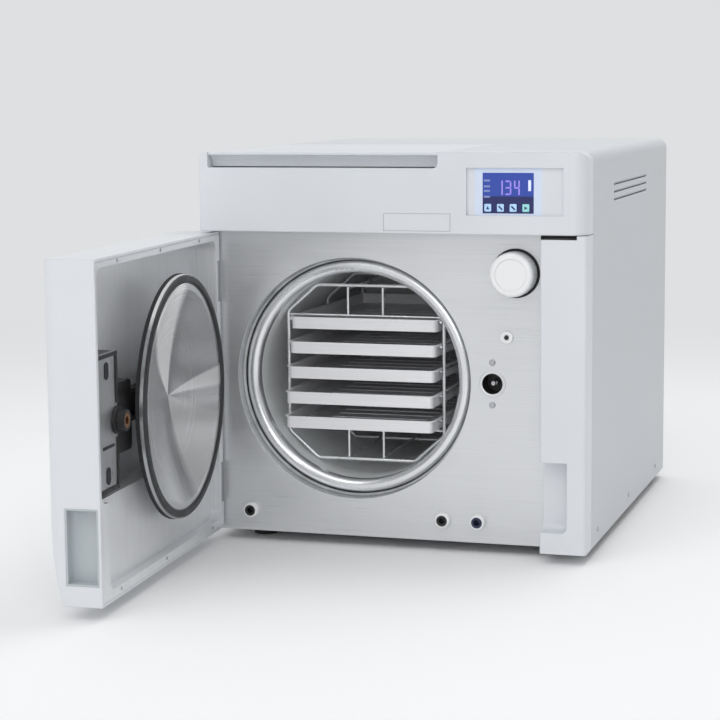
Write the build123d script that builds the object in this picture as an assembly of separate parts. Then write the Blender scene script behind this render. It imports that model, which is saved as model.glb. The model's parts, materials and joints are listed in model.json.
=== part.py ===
from build123d import *
import os
from math import sqrt

os.makedirs("parts", exist_ok=True)

# Tabletop steam steriliser with its door open, in millimetres.
# X runs to the right seen from the front, the door side faces -Y, and Z is up.
# The origin is on the bench, in the middle of the four feet.

# Whole machine: it is built round the pressure vessel, with this room about the vessel's sealing ring
room_left = 36.0            # ring to the left side
lock_strip = 91.5           # ring to the pillar
room_below = 48.0           # ring to the body's underside
room_above = 34.5           # ring to the header
room_behind = 121.0         # straight part of the vessel to the rear
foot_height = 12.0
casing_corner = 12.0        # rounding along the top side edges
sheet = 2.0                 # painted sheet steel
skin = 3.0                  # moulded plastic walls
seam = 0.4                  # parting line between outer covers
near = 0.3                  # small clearance between pieces that stay apart

# Feet
foot_radius = 14.0
foot_shoulder = 17.0
foot_inset_x = 48.0
foot_inset_y = 80.0

# Front of the machine
header_height = 91.5
plate_recess = 35.0         # steel front plate behind the header face
plate_thick = 2.0
pillar_width = 52.5
header_corner = 18.0        # right front edge of the header, in plan
header_corner_left = 4.0
header_groove = 18.0        # height of the step that the tank lid closes
step_round_left = 2.0
step_round_right = 6.0

# Chamber
chamber_radius = 122.5
chamber_wall = 2.5
chamber_length = 370.0
chamber_dome = 26.0
ring_width = 15.5
ring_recess = 15.0          # sealing face behind the front plate
ring_depth = 14.0
ring_lip = 6.5
plate_hole_gap = 3.5
band_thick = 5.0
band_width = 55.0
band_inset = 14.0           # from the jacket's ends
band_split = 6.0
band_count = 3
jacket_thick = 17.0
jacket_start = 16.0         # behind the sealing ring
jacket_stop = 24.0          # short of the chamber's dome

# Door
door_gap = 1.5              # at the sides
door_gap_z = 2.5            # above and below
door_rear_gap = 1.0         # to the front plate
door_thick = 60.0
door_corner = 21.0          # front vertical edges
door_top_round = 9.0
door_rear_round = 1.0
door_sweep = 18.0           # how far the lower front is drawn back
door_sweep_height = 120.0
door_open = 87.0            # degrees, as it stands
liner_sheet = 1.5
liner_fit = 0.3             # to the shell all round
liner_deep = 34.0
liner_shallow = 12.0
liner_step_room = 7.0       # from the nut's bracket down to where the deep part ends
liner_top_margin = 9.5
liner_side_margin = 2.2     # free side
liner_hinge_margin = 16.0
liner_foot_margin = 12.0
liner_grip_margin = 21.0    # room beside the grip in the shallow part
liner_corner = 12.0

# Door hinge
hinge_offset = 5.5          # pin from the door's edge and from its rear face
hinge_pin_radius = 3.0
hinge_running = 0.05
knuckle_radius = 5.2
knuckle_body = 22.0
knuckle_door = 12.0
knuckle_gap = 0.4
hinge_low = 58.0            # above the body's underside
hinge_high = 60.5           # below the header
hinge_leaf_thick = 2.5
hinge_leaf_depth = 26.0
hinge_pad = 30.0

# Grip
grip_low = 24.0             # above the body's underside
grip_below_step = 3.0       # top of the grip below the liner's step
grip_door_depth = 16.0
grip_front_wall = 21.5
grip_rear_wall = 2.5
grip_wall = 2.0
grip_pillar_width = 31.0
grip_pillar_depth = 22.0
grip_round = 9.0

# Door lid that closes the chamber
lid_inside = 3.0            # lid's edge inside the ring's
lid_gap = 0.5               # gasket to sealing ring with the door shut
lid_rim_thick = 8.0
lid_rim_width = 17.0
lid_plate = 2.5
lid_dish = 20.0
gasket_rim = 1.0            # steel outside the gasket
gasket_width = 9.0
gasket_thick = 6.0
gasket_seat = 3.5
lid_ball_radius = 5.0
lid_ball_back = 33.0        # ball centre behind the gasket's front
lid_ball_running = 0.08
lid_hub_radius = 15.0
lid_hub_back = 1.8          # behind the ball's centre
stud_radius = 4.0
stud_running = 0.08
stud_length = 13.0

# Carrier, bracket and nut on the door
carrier_stand = 1.0
carrier_thick = 9.5
carrier_boss_radius = 30.0
carrier_arm_height = 44.0
yoke_height = 74.0
yoke_width = 42.0
yoke_thick = 28.0
yoke_short_of_nut = 5.0
yoke_corner = 6.0
yoke_notch = 5.0            # radius of the notch at each outer corner
yoke_notch_in = 9.0
yoke_notch_out = 2.0
carrier_end_gap = 8.0       # to the liner at the hinge side
carrier_taper = 6.0
carrier_corner = 8.0
carrier_rib = 6.0
pocket_length = 56.0
pocket_depth = 4.0
pocket_edge = 9.0
carrier_foot_in = 12.0
carrier_foot_radius = 7.0
nut_collar_radius = 14.0
nut_seat = 6.0              # bottom of the nut's seat in the yoke
nut_end = 4.0
nut_radius = 11.0
nut_bore_radius = 4.3
nut_proud = 8.0             # past the door's rear face
bracket_width = 58.0
bracket_height = 144.0
bracket_stand = 30.0
bracket_sheet = 2.5
bracket_gap = 1.5           # to the liner's wall
bracket_hole = 3.5
bracket_hole_in = 18.0

# Lock in the body
lock_to_pillar = 62.5
lock_cup_radius = 13.5
lock_cup_bore = 11.8
lock_flange_radius = 15.0
lock_flange_thick = 0.8
lock_cup_depth = 28.0
spindle_radius = 3.5
spindle_tip = 3.5           # tip behind the front plate's face
spindle_running = 0.05
spindle_bevel = 1.2
spindle_flat = 2.45         # half the width across its flats
spindle_flat_length = 6.0
gearbox_radius = 18.0
gearbox_length = 32.0
gearbox_end = 8.0
lock_motor_radius = 15.0
lock_motor_length = 60.0
lock_screw_pitch = 49.0
screw_head_radius = 3.6
screw_head_height = 1.6

# Air filter, door switch and quick couplings
filter_to_pillar = 35.5
filter_below_header = 45.5
filter_radius = 25.0
filter_length = 25.0
filter_neck_radius = 9.0
filter_neck_wall = 6.0      # of the socket round the neck
filter_round = 4.0
filter_dish_rim = 7.0
filter_dish = 0.8
filter_socket_radius = 28.0
filter_running = 0.06
filter_socket_rim = 1.0
filter_socket_depth = 26.0
switch_to_pillar = 45.5
switch_above_lock = 54.0
switch_plunger_radius = 2.6
switch_running = 0.08
switch_collar_radius = 7.0
switch_collar_proud = 3.0
switch_travel = 3.0
switch_body_depth = 24.0
switch_body_width = 20.0
switch_body_height = 28.0
port_rise = 25.0
port_left_in = 47.0         # from the body's left side
port_right_in = (121.0, 79.5)  # from the pillar
port_radius = 9.0
port_bore = 4.8
port_proud = 8.0
port_body_radius = 12.0
port_body_depth = 26.0
port_bore_depth = 24.0
port_bevel = 1.6

# Display and keys
panel_to_right = 136.5
panel_width = 109.5
panel_above = 21.5          # above the header's underside
panel_height = 52.5
panel_thick = 2.0
panel_lap = 3.5
glass_in = 18.0             # from the panel's left edge
glass_width = 58.0
glass_above = 2.3           # above the panel's lower edge
glass_height = 45.0
key_count = 4
key_in = 6.1                # first key from the glass's left edge
key_pitch = 14.4
key_above = 8.5             # above the panel's lower edge
key_radius = 4.5
key_gap = 0.3
key_proud = 0.8
key_travel = 0.8
key_flange = 1.2
key_flange_radius = 5.8
board_thick = 1.6
board_stand = 10.0
board_pillar_radius = 2.5
board_pillar_inset = 3.0
flap_to_right = 233.0
flap_width = 78.0
flap_height = 20.0
flap_groove = 0.5

# Card slot above the pillar
slot_height = 4.2
slot_width = 41.0
slot_depth = 18.0

# Tank lid and tanks
tank_lid_in = 12.0          # from the body's left side
tank_lid_width = 274.0
tank_lid_back = 300.0       # rear edge behind the header face
tank_lid_thick = 4.0
tank_lid_front = 1.5        # front edge behind the header face
tank_lid_undercut = 13.0
tank_lid_rib = 8.0          # its side ribs below its top
lid_bead_radius = 4.5
lid_pin_radius = 1.5
lid_pin_length = 7.0
tank_rail = 11.0            # reach of the tub's rails outside the lid
tank_wall = 3.0
tank_side_gap = 5.0
tank_front_gap = 10.0
tank_clear = 4.0            # over the chamber jacket
tank_split = 0.56           # share of the width held by the clean side
strainer_radius = 12.0
strainer_height = 14.0
strainer_slot = 2.0
strainer_slot_height = 5.0

# Rack and trays
wire = 2.0                  # radius of the frame wire
rail_wire = 1.5             # radius of the rail wire
rack_gap = 0.4              # frame to the chamber's wall
rack_corner_room = 6.2      # from the top tray's rim up to the hoop's corner
rack_top_half = 60.0
rack_bend = 2.0             # cut off each corner of a hoop
rack_front = 38.0           # front hoop behind the sealing ring
rack_length = 300.0
rack_hoops = 3
rack_upright_x = 21.5
tray_count = 5
tray_pitch = 29.0
tray_top_rise = 66.0        # rim of the top tray above the chamber's axis
tray_depth = 14.0
tray_wall = 1.2
tray_length = 285.0
tray_side_gap = 1.0
tray_rim_gap = 0.5
tray_in = 40.0              # front edge behind the sealing ring when pushed in
tray_pulled = (12.0, 18.0, 25.0, 33.0, 35.0)
tray_slots = 9
tray_slot_width = 5.0
tray_slot_length = 120.0
tray_corner = 6.0
tray_rim_corner = 8.0

# Rear panel
rear_sheet = 2.0
fan_in = 78.0               # from the body's right side
fan_below_top = 150.0
fan_frame = 120.0
fan_frame_corner = 6.0
fan_frame_wall = 4.0        # round the opening, beyond the guard
fan_depth = 25.0
fan_opening = 54.0
fan_hub_radius = 20.0
fan_blades = 7
blade_tip_gap = 2.0
blade_thick = 2.0
blade_width = 20.0
blade_pitch = 38.0          # degrees
fan_spoke = 6.0
fan_spoke_thick = 3.0
fan_bearing = 5.0
fan_bearing_length = 14.0
fan_running = 0.08
guard_rings = 4
guard_pitch = 10.0
guard_slot = 5.0
guard_bar = 4.0
rear_louvres = 8
rear_louvre_length = 60.0
rear_louvre_height = 3.0
rear_louvre_pitch = 12.0
rear_louvre_drop = 40.0     # lowest one below the chamber's axis
inlet_in = 118.0            # from the body's right side
inlet_rise = 60.0
inlet_width = 27.4
inlet_height = 20.0
inlet_depth = 17.0
inlet_wall = 4.0
inlet_lip = 8.0
inlet_well_width = 23.0
inlet_well_height = 16.0
inlet_well_bevel = 5.0
inlet_pin = 2.0             # width of a contact
inlet_pin_pitch = 7.0
inlet_pin_height = 4.0
rocker_in = 68.0
rocker_width = 13.0
rocker_height = 19.0
rocker_tilt = 14.0
rocker_gap = 0.5
rocker_deep = 14.0
rocker_pin_radius = 1.2
rocker_pin_in = 2.0         # reach of the pins into the rocker
rocker_below = 5.0          # inner edge behind the rocker's axis
rocker_ends = 4.5           # ends and waist before its axis
rocker_waist = 3.4
rocker_inset = 3.5          # axis behind the rear face
inlet_skin = 1.5
drain_in = 78.0             # from the body's left side
drain_rise = 40.0
drain_radius = 5.0
drain_bore = 3.0
drain_length = 24.0
drain_nut = 9.0             # corner radius of its hexagon
drain_nut_thick = 5.0
drain_flange = 8.0
drain_inside = 14.0

# Derived places
ring_radius = chamber_radius + ring_width
body_width = room_left + 2 * ring_radius + lock_strip + pillar_width
body_depth = plate_recess + ring_recess + ring_depth + chamber_length + room_behind
body_height = room_below + 2 * ring_radius + room_above + header_height
x_left = -body_width / 2
x_right = body_width / 2
y_front = -body_depth / 2
y_back = body_depth / 2
z_low = foot_height
z_top = foot_height + body_height
z_head = z_top - header_height
y_plate = y_front + plate_recess
y_plate_back = y_plate + plate_thick
x_pillar = x_right - pillar_width
chamber_x = x_left + room_left + ring_radius
chamber_z = z_low + room_below + ring_radius
y_seal = y_plate + ring_recess
y_ring_back = y_seal + ring_depth
y_chamber_back = y_ring_back + chamber_length
jacket_radius = chamber_radius + chamber_wall + band_thick + jacket_thick
rack_reach = chamber_radius - rack_gap - wire
rack_side_z = tray_top_rise + rack_corner_room
rack_half_width = sqrt(rack_reach ** 2 - rack_side_z ** 2)
plate_hole = ring_radius + plate_hole_gap
lid_radius = ring_radius - lid_inside
gasket_outer = lid_radius - gasket_rim
gasket_inner = gasket_outer - gasket_width

lock_x = x_pillar - lock_to_pillar
filter_x = x_pillar - filter_to_pillar
filter_z = z_head - filter_below_header
switch_x = x_pillar - switch_to_pillar
switch_z = chamber_z + switch_above_lock
port_x = (x_left + port_left_in, *(x_pillar - inset for inset in port_right_in))
port_z = z_low + port_rise
panel_x = x_right - panel_to_right
panel_z = z_head + panel_above
glass_x = panel_x + glass_in
glass_z = panel_z + glass_above
key_z = panel_z + key_above
flap_x = x_right - flap_to_right
tank_lid_x = x_left + tank_lid_in
fan_x = x_right - fan_in
fan_z = z_top - fan_below_top
inlet_x = x_right - inlet_in
rocker_x = x_right - rocker_in
drain_x = x_left + drain_in
drain_z = z_low + drain_rise
rocker_y = y_back - rocker_inset
rocker_z = z_low + inlet_rise
rocker_frame_x = rocker_width / 2 + rocker_gap + inlet_skin
rocker_frame_z = rocker_height / 2 + rocker_gap + inlet_skin

door_x0 = x_left + door_gap
door_x1 = x_pillar - door_gap
door_z0 = z_low + door_gap_z
door_z1 = z_head - door_gap_z
door_rear = y_plate - door_rear_gap
door_front = door_rear - door_thick
hinge_x = door_x0 + hinge_offset
hinge_y = door_rear - hinge_offset
hinge_axis = Axis((hinge_x, hinge_y, 0), (0, 0, 1))

liner_floor = door_rear - liner_deep
liner_step = chamber_z - bracket_height / 2 - liner_step_room
grip_z0 = z_low + grip_low
grip_z1 = liner_step - grip_below_step
gasket_front = y_seal - lid_gap
lid_rim_front = gasket_front - (gasket_thick - gasket_seat)
lid_rim_back = lid_rim_front - lid_rim_thick
ball_y = gasket_front - lid_ball_back
carrier_back = liner_floor + carrier_stand
carrier_front = carrier_back + carrier_thick


# Small builders

def block(x0, x1, y0, y1, z0, z1):
    return Pos((x0 + x1) / 2, (y0 + y1) / 2, (z0 + z1) / 2) * Box(x1 - x0, y1 - y0, z1 - z0)


def rod_x(y, z, r, x0, x1):
    return Pos((x0 + x1) / 2, y, z) * Rot(0, 90, 0) * Cylinder(r, x1 - x0)


def rod_y(x, z, r, y0, y1):
    return Pos(x, (y0 + y1) / 2, z) * Rot(90, 0, 0) * Cylinder(r, y1 - y0)


def rod_z(x, y, r, z0, z1):
    return Pos(x, y, (z0 + z1) / 2) * Cylinder(r, z1 - z0)


def tube_y(x, z, r_out, r_in, y0, y1):
    return rod_y(x, z, r_out, y0, y1) - rod_y(x, z, r_in, y0 - 1, y1 + 1)


def outline(points, radii):
    return make_face(FilletPolyline(points, radius=radii, close=True))


def rounded(x0, x1, y0, y1, radii):
    """Rectangle with its own radius at each corner, from the low left one anticlockwise."""
    return outline([(x0, y0), (x1, y0), (x1, y1), (x0, y1)], radii)


def prism_x(face, x0, x1):
    return extrude(Plane((x0, 0, 0), x_dir=(0, 1, 0), z_dir=(1, 0, 0)) * face, x1 - x0)


def prism_y(face, y0, y1):
    return extrude(Plane((0, y0, 0), x_dir=(1, 0, 0), z_dir=(0, -1, 0)) * face, y0 - y1)


def prism_z(face, z0, z1):
    return extrude(Plane((0, 0, z0)) * face, z1 - z0)


def turned_y(x, z, face):
    """Turn a face, drawn as radius against Y, about an axis along Y."""
    placed = Plane((x, 0, z), x_dir=(1, 0, 0), z_dir=(0, 0, 1)) * face
    return revolve(placed, axis=Axis((x, 0, z), (0, 1, 0)))


def bevel_front(shape, size):
    """Bevel the round edge that looks to -Y."""
    return chamfer(shape.edges().filter_by(GeomType.CIRCLE).group_by(Axis.Y)[0], size)


def group(shapes):
    return Compound(children=[solid for shape in shapes for solid in shape.solids()])


def open_door(shape):
    """Turn a piece of the shut door to where the door stands."""
    return shape.rotate(hinge_axis, -door_open)


# Feet and base

def foot(x, y):
    profile = make_face(Polyline(
        (0, 0), (foot_radius, 0), (foot_radius, foot_height * 0.55),
        (foot_shoulder, foot_height), (0, foot_height), close=True,
    ))
    placed = Plane((x, y, 0), x_dir=(1, 0, 0), z_dir=(0, -1, 0)) * profile
    return revolve(placed, axis=Axis((x, y, 0), (0, 0, 1)))


def make_feet():
    places_x = (x_left + foot_inset_x, x_right - foot_inset_x)
    places_y = (y_front + foot_inset_y, y_back - foot_inset_y)
    return group([foot(x, y) for x in places_x for y in places_y])


pan_flange = 26.0
pan_slot = 4.0
pan_slot_length = 46.0
pan_slot_count = 9
pan_slot_pitch = 12.0


def make_base_pan():
    x0, x1 = x_left + sheet, x_right - sheet
    y0, y1 = y_plate_back, y_back - rear_sheet
    pan = block(x0, x1, y0, y1, z_low, z_low + pan_flange)
    pan -= block(x0 + sheet, x1 - sheet, y0 - 1, y1 - sheet, z_low + sheet, z_low + pan_flange + 1)
    for row_x in (chamber_x, lock_x):
        for i in range(pan_slot_count):
            y = (i - (pan_slot_count - 1) / 2) * pan_slot_pitch
            pan -= block(row_x - pan_slot_length / 2, row_x + pan_slot_length / 2,
                         y - pan_slot / 2, y + pan_slot / 2, z_low - 1, z_low + sheet + 1)
    return pan


# Front plate, with the drawn collar round the chamber's mouth

plate_collar = 2.0


def make_front_plate():
    plate = block(x_left + sheet, x_right - sheet, y_plate, y_plate_back, z_low, z_head + pan_flange)
    collar_back = y_seal - near
    plate += tube_y(chamber_x, chamber_z, plate_hole + plate_collar, plate_hole, y_plate, collar_back)
    plate -= rod_y(chamber_x, chamber_z, plate_hole, y_plate - 1, collar_back + 1)
    plate -= rod_y(filter_x, filter_z, filter_neck_radius + filter_neck_wall, y_plate - 1, y_plate_back + 1)
    plate -= rod_y(lock_x, chamber_z, lock_cup_radius, y_plate - 1, y_plate_back + 1)
    plate -= rod_y(switch_x, switch_z, switch_collar_radius, y_plate - 1, y_plate_back + 1)
    for x in port_x:
        plate -= rod_y(x, port_z, port_radius, y_plate - 1, y_plate_back + 1)
    for z in hinge_heights():
        plate -= block(x_left, hinge_x, y_plate - 1, y_plate_back + 1,
                       z - knuckle_body / 2, z + knuckle_body / 2)
    return plate


def screw_y(x, z, face_y):
    """Screw whose bevelled head stands on a face that looks to -Y."""
    head = rod_y(x, z, screw_head_radius, face_y - screw_head_height, face_y)
    return bevel_front(head, screw_head_height * 0.5)


def make_plate_screws():
    places = [
        (lock_x, chamber_z + lock_screw_pitch / 2),
        (lock_x, chamber_z - lock_screw_pitch / 2),
    ]
    return group([screw_y(x, z, y_plate) for x, z in places])


# Casing: one sheet over both sides and the top

vent_count = 3
vent_height = 3.0
vent_length = 230.0
vent_pitch = 9.0
vent_drop = 42.0            # top vent below the top of the body


def casing_face(inset):
    x0, x1 = x_left + inset, x_right - inset
    top = z_top - inset
    r = casing_corner - inset
    return rounded(x0, x1, z_low, top, (0, 0, r, r))


def tank_opening_x():
    return tank_lid_x - seam, tank_lid_x + tank_lid_width + seam


def make_casing():
    y0 = y_plate + seam
    shell = prism_y(casing_face(0), y0, y_back)
    shell -= prism_y(casing_face(sheet), y0 - 1, y_back + 1)
    shell -= block(x_left + sheet, x_right - sheet, y0 - 1, y_back + 1, z_low - 1, z_low + casing_corner)
    x0, x1 = tank_opening_x()
    shell -= block(x0, x1, y0 - 1, y_front + tank_lid_back + seam, z_top - sheet - 1, z_top + 1)
    for i in range(vent_count):
        z = z_top - vent_drop - i * vent_pitch
        shell -= block(x_left - 1, x_right + 1, -vent_length / 2, vent_length / 2,
                       z - vent_height / 2, z + vent_height / 2)
    return shell


# Header over the door, with the display opening and the step for the tank lid

def header_form(inset):
    front = rounded(x_left + inset, x_right - inset, z_head + inset, z_top - inset,
                    (0, 0, casing_corner - inset, casing_corner - inset))
    plan = rounded(x_left + inset, x_right - inset, y_front + inset, y_plate,
                   (header_corner_left - inset, header_corner - inset, 0, 0))
    return prism_y(front, y_front - 1, y_plate) & prism_z(plan, z_head - 1, z_top + 1)


def make_header():
    step_z = z_top - header_groove
    x0, x1 = tank_opening_x()
    notch_face = rounded(x0, x1, step_z, z_top + header_groove, (step_round_left, step_round_right, 0, 0))
    header = header_form(0)
    hollow = header_form(skin) + block(x_left + skin, x_right - skin, y_plate - 2, y_plate + 1,
                                       z_head + skin, z_top - skin)
    hollow -= block(x0 - skin, x1 + skin, y_front, y_plate + 2, step_z - skin, z_top)
    header -= hollow
    header -= prism_y(notch_face, y_front - 1, y_plate + 1)
    header -= block(panel_x, panel_x + panel_width, y_front - 1, y_front + skin + 1,
                    panel_z, panel_z + panel_height)
    flap_z = z_head + skin
    ring_face = Rectangle(flap_width, flap_height) - Rectangle(flap_width - 2 * flap_groove,
                                                                flap_height - 2 * flap_groove)
    ring_face = Pos(flap_x + flap_width / 2, flap_z + flap_height / 2) * ring_face
    header -= prism_y(ring_face, y_front - 1, y_front + flap_groove)
    front_edges = header.edges().filter_by(Axis.X).group_by(Axis.Y)[0]
    return fillet(front_edges.group_by(Axis.Z)[0], 1.5)


def key_x(i):
    return glass_x + key_in + i * key_pitch


def make_display_panel():
    y0 = y_front + skin
    panel = block(panel_x - panel_lap, panel_x + panel_width + panel_lap, y0, y0 + panel_thick,
                  panel_z - panel_lap, panel_z + panel_height + panel_lap)
    return panel - block(glass_x, glass_x + glass_width, y0 - 1, y0 + panel_thick + 1,
                         glass_z, glass_z + glass_height)


def make_display_glass():
    y0 = y_front + skin
    glass = block(glass_x, glass_x + glass_width, y0, y0 + panel_thick, glass_z, glass_z + glass_height)
    for i in range(key_count):
        glass -= rod_y(key_x(i), key_z, key_radius + key_gap, y0 - 1, y0 + panel_thick + 1)
    return glass


def make_key(i):
    y0 = y_front + skin
    cap = bevel_front(rod_y(key_x(i), key_z, key_radius, y0 - key_proud, y0 + panel_thick + near), 0.5)
    flange_y = y0 + panel_thick + near
    return cap + rod_y(key_x(i), key_z, key_flange_radius, flange_y, flange_y + key_flange)


def make_control_board():
    """Circuit board behind the display, with the display module and the key switches."""
    panel_back = y_front + skin + panel_thick
    y0 = y_front + skin + board_stand
    z0 = panel_z - panel_lap
    z1 = z0 + panel_height + 2 * panel_lap
    board = block(panel_x - panel_lap, panel_x + panel_width + panel_lap, y0, y0 + board_thick, z0, z1)
    module_z = key_z + key_flange_radius + 1
    board += block(glass_x + 2, glass_x + glass_width - 2, panel_back + near, y0,
                   module_z, glass_z + glass_height - 1)
    rest = panel_back + near + key_flange + key_travel + near
    r = board_pillar_radius
    for i in range(key_count):
        board += block(key_x(i) - r, key_x(i) + r, rest, y0, key_z - r, key_z + r)
    for x in (panel_x, panel_x + panel_width):
        for z in (z0 + board_pillar_inset, z1 - board_pillar_inset):
            board += block(x - r, x + r, panel_back, y0, z - r, z + r)
    return board


# Right pillar, with the card slot above it and the grip scooped from its inner edge

def make_pillar():
    top = z_head - seam
    plan = rounded(x_pillar, x_right, y_front, y_plate, (2, 4, 0, 0))
    pillar = prism_z(plan, z_low, top)
    slot_x1 = x_pillar + slot_width
    pillar -= block(x_pillar - 1, slot_x1, y_front - 1, y_front + slot_depth, top - slot_height, top + 1)
    scoop_face = rounded(x_pillar - grip_round, x_pillar + grip_pillar_width, y_front - grip_round,
                         y_front + grip_pillar_depth, (0, 0, grip_round, 0))
    scoop = prism_z(scoop_face, grip_z0, grip_z1)
    scoop = fillet(scoop.edges().filter_by(GeomType.CIRCLE).group_by(Axis.Z)[0], grip_round - grip_wall)
    pillar -= scoop
    hollow_x0, hollow_x1 = x_pillar + skin, x_right - skin
    pillar -= block(hollow_x0, hollow_x1, y_front + skin, y_plate + 1,
                    grip_z1 + skin, top - slot_height - skin)
    return pillar


# Chamber with its sealing ring, heater bands, jacket and cradles

def domed(radius, y0, y1, rise):
    """Round bar along Y with a shallow dome on its rear end."""
    crown = (radius ** 2 + rise ** 2) / (2 * rise)
    ball = Pos(chamber_x, y1 + rise - crown, chamber_z) * Sphere(crown)
    cap = ball & rod_y(chamber_x, chamber_z, radius, y1 - 1, y1 + rise + 1)
    return rod_y(chamber_x, chamber_z, radius, y0, y1) + cap


def make_chamber_vessel():
    outside = domed(chamber_radius + chamber_wall, y_ring_back, y_chamber_back, chamber_dome)
    return outside - domed(chamber_radius, y_ring_back - 1, y_chamber_back, chamber_dome - chamber_wall)


def make_chamber_ring():
    face = rounded(chamber_radius, ring_radius, y_seal, y_ring_back, (ring_lip, ring_lip, 1.5, 0))
    return turned_y(chamber_x, chamber_z, face)


def band_places():
    start = y_ring_back + jacket_start + band_inset
    stop = y_chamber_back - jacket_stop - band_inset - band_width
    return [start + i * (stop - start) / (band_count - 1) for i in range(band_count)]


def make_heater_bands():
    """Mineral-insulated bands round the vessel, each split at the top."""
    r = chamber_radius + chamber_wall
    bands = []
    for y in band_places():
        band = tube_y(chamber_x, chamber_z, r + band_thick, r, y, y + band_width)
        bands.append(band - block(chamber_x - band_split / 2, chamber_x + band_split / 2, y - 1,
                                  y + band_width + 1, chamber_z, chamber_z + r + 2 * band_thick))
    return group(bands)


def make_jacket():
    r = chamber_radius + chamber_wall + band_thick
    return tube_y(chamber_x, chamber_z, jacket_radius, r, y_ring_back + jacket_start,
                  y_chamber_back - jacket_stop)


cradle_width = 190.0
cradle_foot = 22.0
cradle_inset = 60.0
cradle_wrap = 106.0         # its top below the chamber's axis


def cradle(y):
    z0 = z_low + sheet
    web = block(chamber_x - cradle_width / 2, chamber_x + cradle_width / 2, y, y + skin,
                z0, chamber_z - cradle_wrap)
    web -= rod_y(chamber_x, chamber_z, jacket_radius, y - 1, y + skin + 1)
    return web + block(chamber_x - cradle_width / 2, chamber_x + cradle_width / 2,
                       y, y + cradle_foot, z0, z0 + skin)


def make_cradles():
    return group([cradle(y_ring_back + cradle_inset), cradle(y_chamber_back - cradle_inset - jacket_stop)])


# Body side of the door hinges: an arm through the front plate and the pin

def hinge_heights():
    return z_low + hinge_low, z_head - hinge_high


def hinge_bracket(z):
    half = knuckle_body / 2
    bracket = rod_z(hinge_x, hinge_y, knuckle_radius, z - half, z + half)
    bracket += block(x_left + sheet, hinge_x, hinge_y, y_plate_back, z - half, z + half)
    bracket += block(x_left + sheet, hinge_x + hinge_pad, y_plate_back, y_plate_back + skin,
                     z - half, z + half)
    return bracket - rod_z(hinge_x, hinge_y, hinge_pin_radius, z - half - 1, z + half + 1)


def make_hinge_brackets():
    return group([hinge_bracket(z) for z in hinge_heights()])


def make_hinge_pins():
    half = knuckle_body / 2 + knuckle_gap + knuckle_door
    return group([rod_z(hinge_x, hinge_y, hinge_pin_radius, z - half, z + half) for z in hinge_heights()])


# Lock behind the front plate

def make_lock_cup():
    y1 = y_plate + lock_cup_depth
    cup = rod_y(lock_x, chamber_z, lock_cup_radius, y_plate, y1)
    cup += rod_y(lock_x, chamber_z, lock_flange_radius, y_plate - lock_flange_thick, y_plate)
    cup -= rod_y(lock_x, chamber_z, lock_cup_bore, y_plate - lock_flange_thick - 1, y1 - skin)
    return cup - rod_y(lock_x, chamber_z, spindle_radius + spindle_running, y1 - skin - 1, y1 + 1)


def make_lock_motor():
    """Geared motor: its gearbox seats on the cup and takes the spindle's far end."""
    y0 = y_plate + lock_cup_depth
    y1 = y0 + gearbox_length
    box = rod_y(lock_x, chamber_z, gearbox_radius, y0, y1)
    box = chamfer(box.edges().filter_by(GeomType.CIRCLE).group_by(Axis.Y)[-1], 3)
    motor = rod_y(lock_x, chamber_z, lock_motor_radius, y1, y1 + lock_motor_length)
    motor = chamfer(motor.edges().filter_by(GeomType.CIRCLE).group_by(Axis.Y)[-1], 3)
    return box + motor - rod_y(lock_x, chamber_z, spindle_radius + spindle_running, y0 - 1, y1 - gearbox_end)


def make_lock_spindle():
    y0 = y_plate + spindle_tip
    y1 = y_plate + lock_cup_depth + gearbox_length - gearbox_end - near
    spindle = rod_y(lock_x, chamber_z, spindle_radius, y0, y1)
    spindle = bevel_front(spindle, spindle_bevel)
    for side in (-1, 1):
        x0, x1 = sorted((lock_x + side * spindle_flat, lock_x + side * 2 * spindle_radius))
        spindle -= block(x0, x1, y0 - 1, y0 + spindle_flat_length, chamber_z - spindle_radius,
                         chamber_z + spindle_radius)
    return spindle


# Air filter that screws into a socket in the front plate

def make_filter_socket():
    neck = filter_neck_radius + filter_neck_wall
    bore = filter_neck_radius + filter_running
    socket = rod_y(filter_x, filter_z, neck, y_plate, y_plate + filter_socket_depth)
    socket += rod_y(filter_x, filter_z, filter_socket_radius, y_plate - filter_socket_rim, y_plate)
    return socket - rod_y(filter_x, filter_z, bore, y_plate - 5, y_plate + filter_socket_depth - skin)


def make_air_filter():
    y1 = y_plate - filter_socket_rim - near
    y0 = y1 - filter_length
    body = rod_y(filter_x, filter_z, filter_radius, y0, y1)
    body = fillet(body.edges().filter_by(GeomType.CIRCLE).group_by(Axis.Y)[0], filter_round)
    body -= rod_y(filter_x, filter_z, filter_radius - filter_dish_rim, y0 - 1, y0 + filter_dish)
    return body + rod_y(filter_x, filter_z, filter_neck_radius, y1, y_plate + filter_socket_depth - skin - near)


# Door switch

def make_switch_body():
    w, h = switch_body_width / 2, switch_body_height / 2
    body = block(switch_x - w, switch_x + w, y_plate_back, y_plate_back + switch_body_depth,
                 switch_z - h, switch_z + h)
    body += rod_y(switch_x, switch_z, switch_collar_radius, y_plate - switch_collar_proud, y_plate_back)
    return body - rod_y(switch_x, switch_z, switch_plunger_radius + switch_running, y_plate - 10,
                        y_plate_back + switch_body_depth - skin)


def switch_tip():
    return liner_floor + bracket_stand + near


def make_switch_plunger():
    y1 = y_plate_back + switch_body_depth - skin - switch_travel - near
    return bevel_front(rod_y(switch_x, switch_z, switch_plunger_radius, switch_tip(), y1), 0.8)


# Quick couplings for filling and draining

def port(x):
    y0 = y_plate - port_proud
    body = bevel_front(rod_y(x, port_z, port_radius, y0, y_plate_back), port_bevel)
    body += rod_y(x, port_z, port_body_radius, y_plate_back, y_plate_back + port_body_depth)
    return body - rod_y(x, port_z, port_bore, y0 - 1, y0 + port_bore_depth)


def make_ports():
    return group([port(x) for x in port_x])


# Tank lid, hinge pins and tanks

def lid_bead_y():
    return y_front + tank_lid_back - lid_bead_radius


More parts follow.
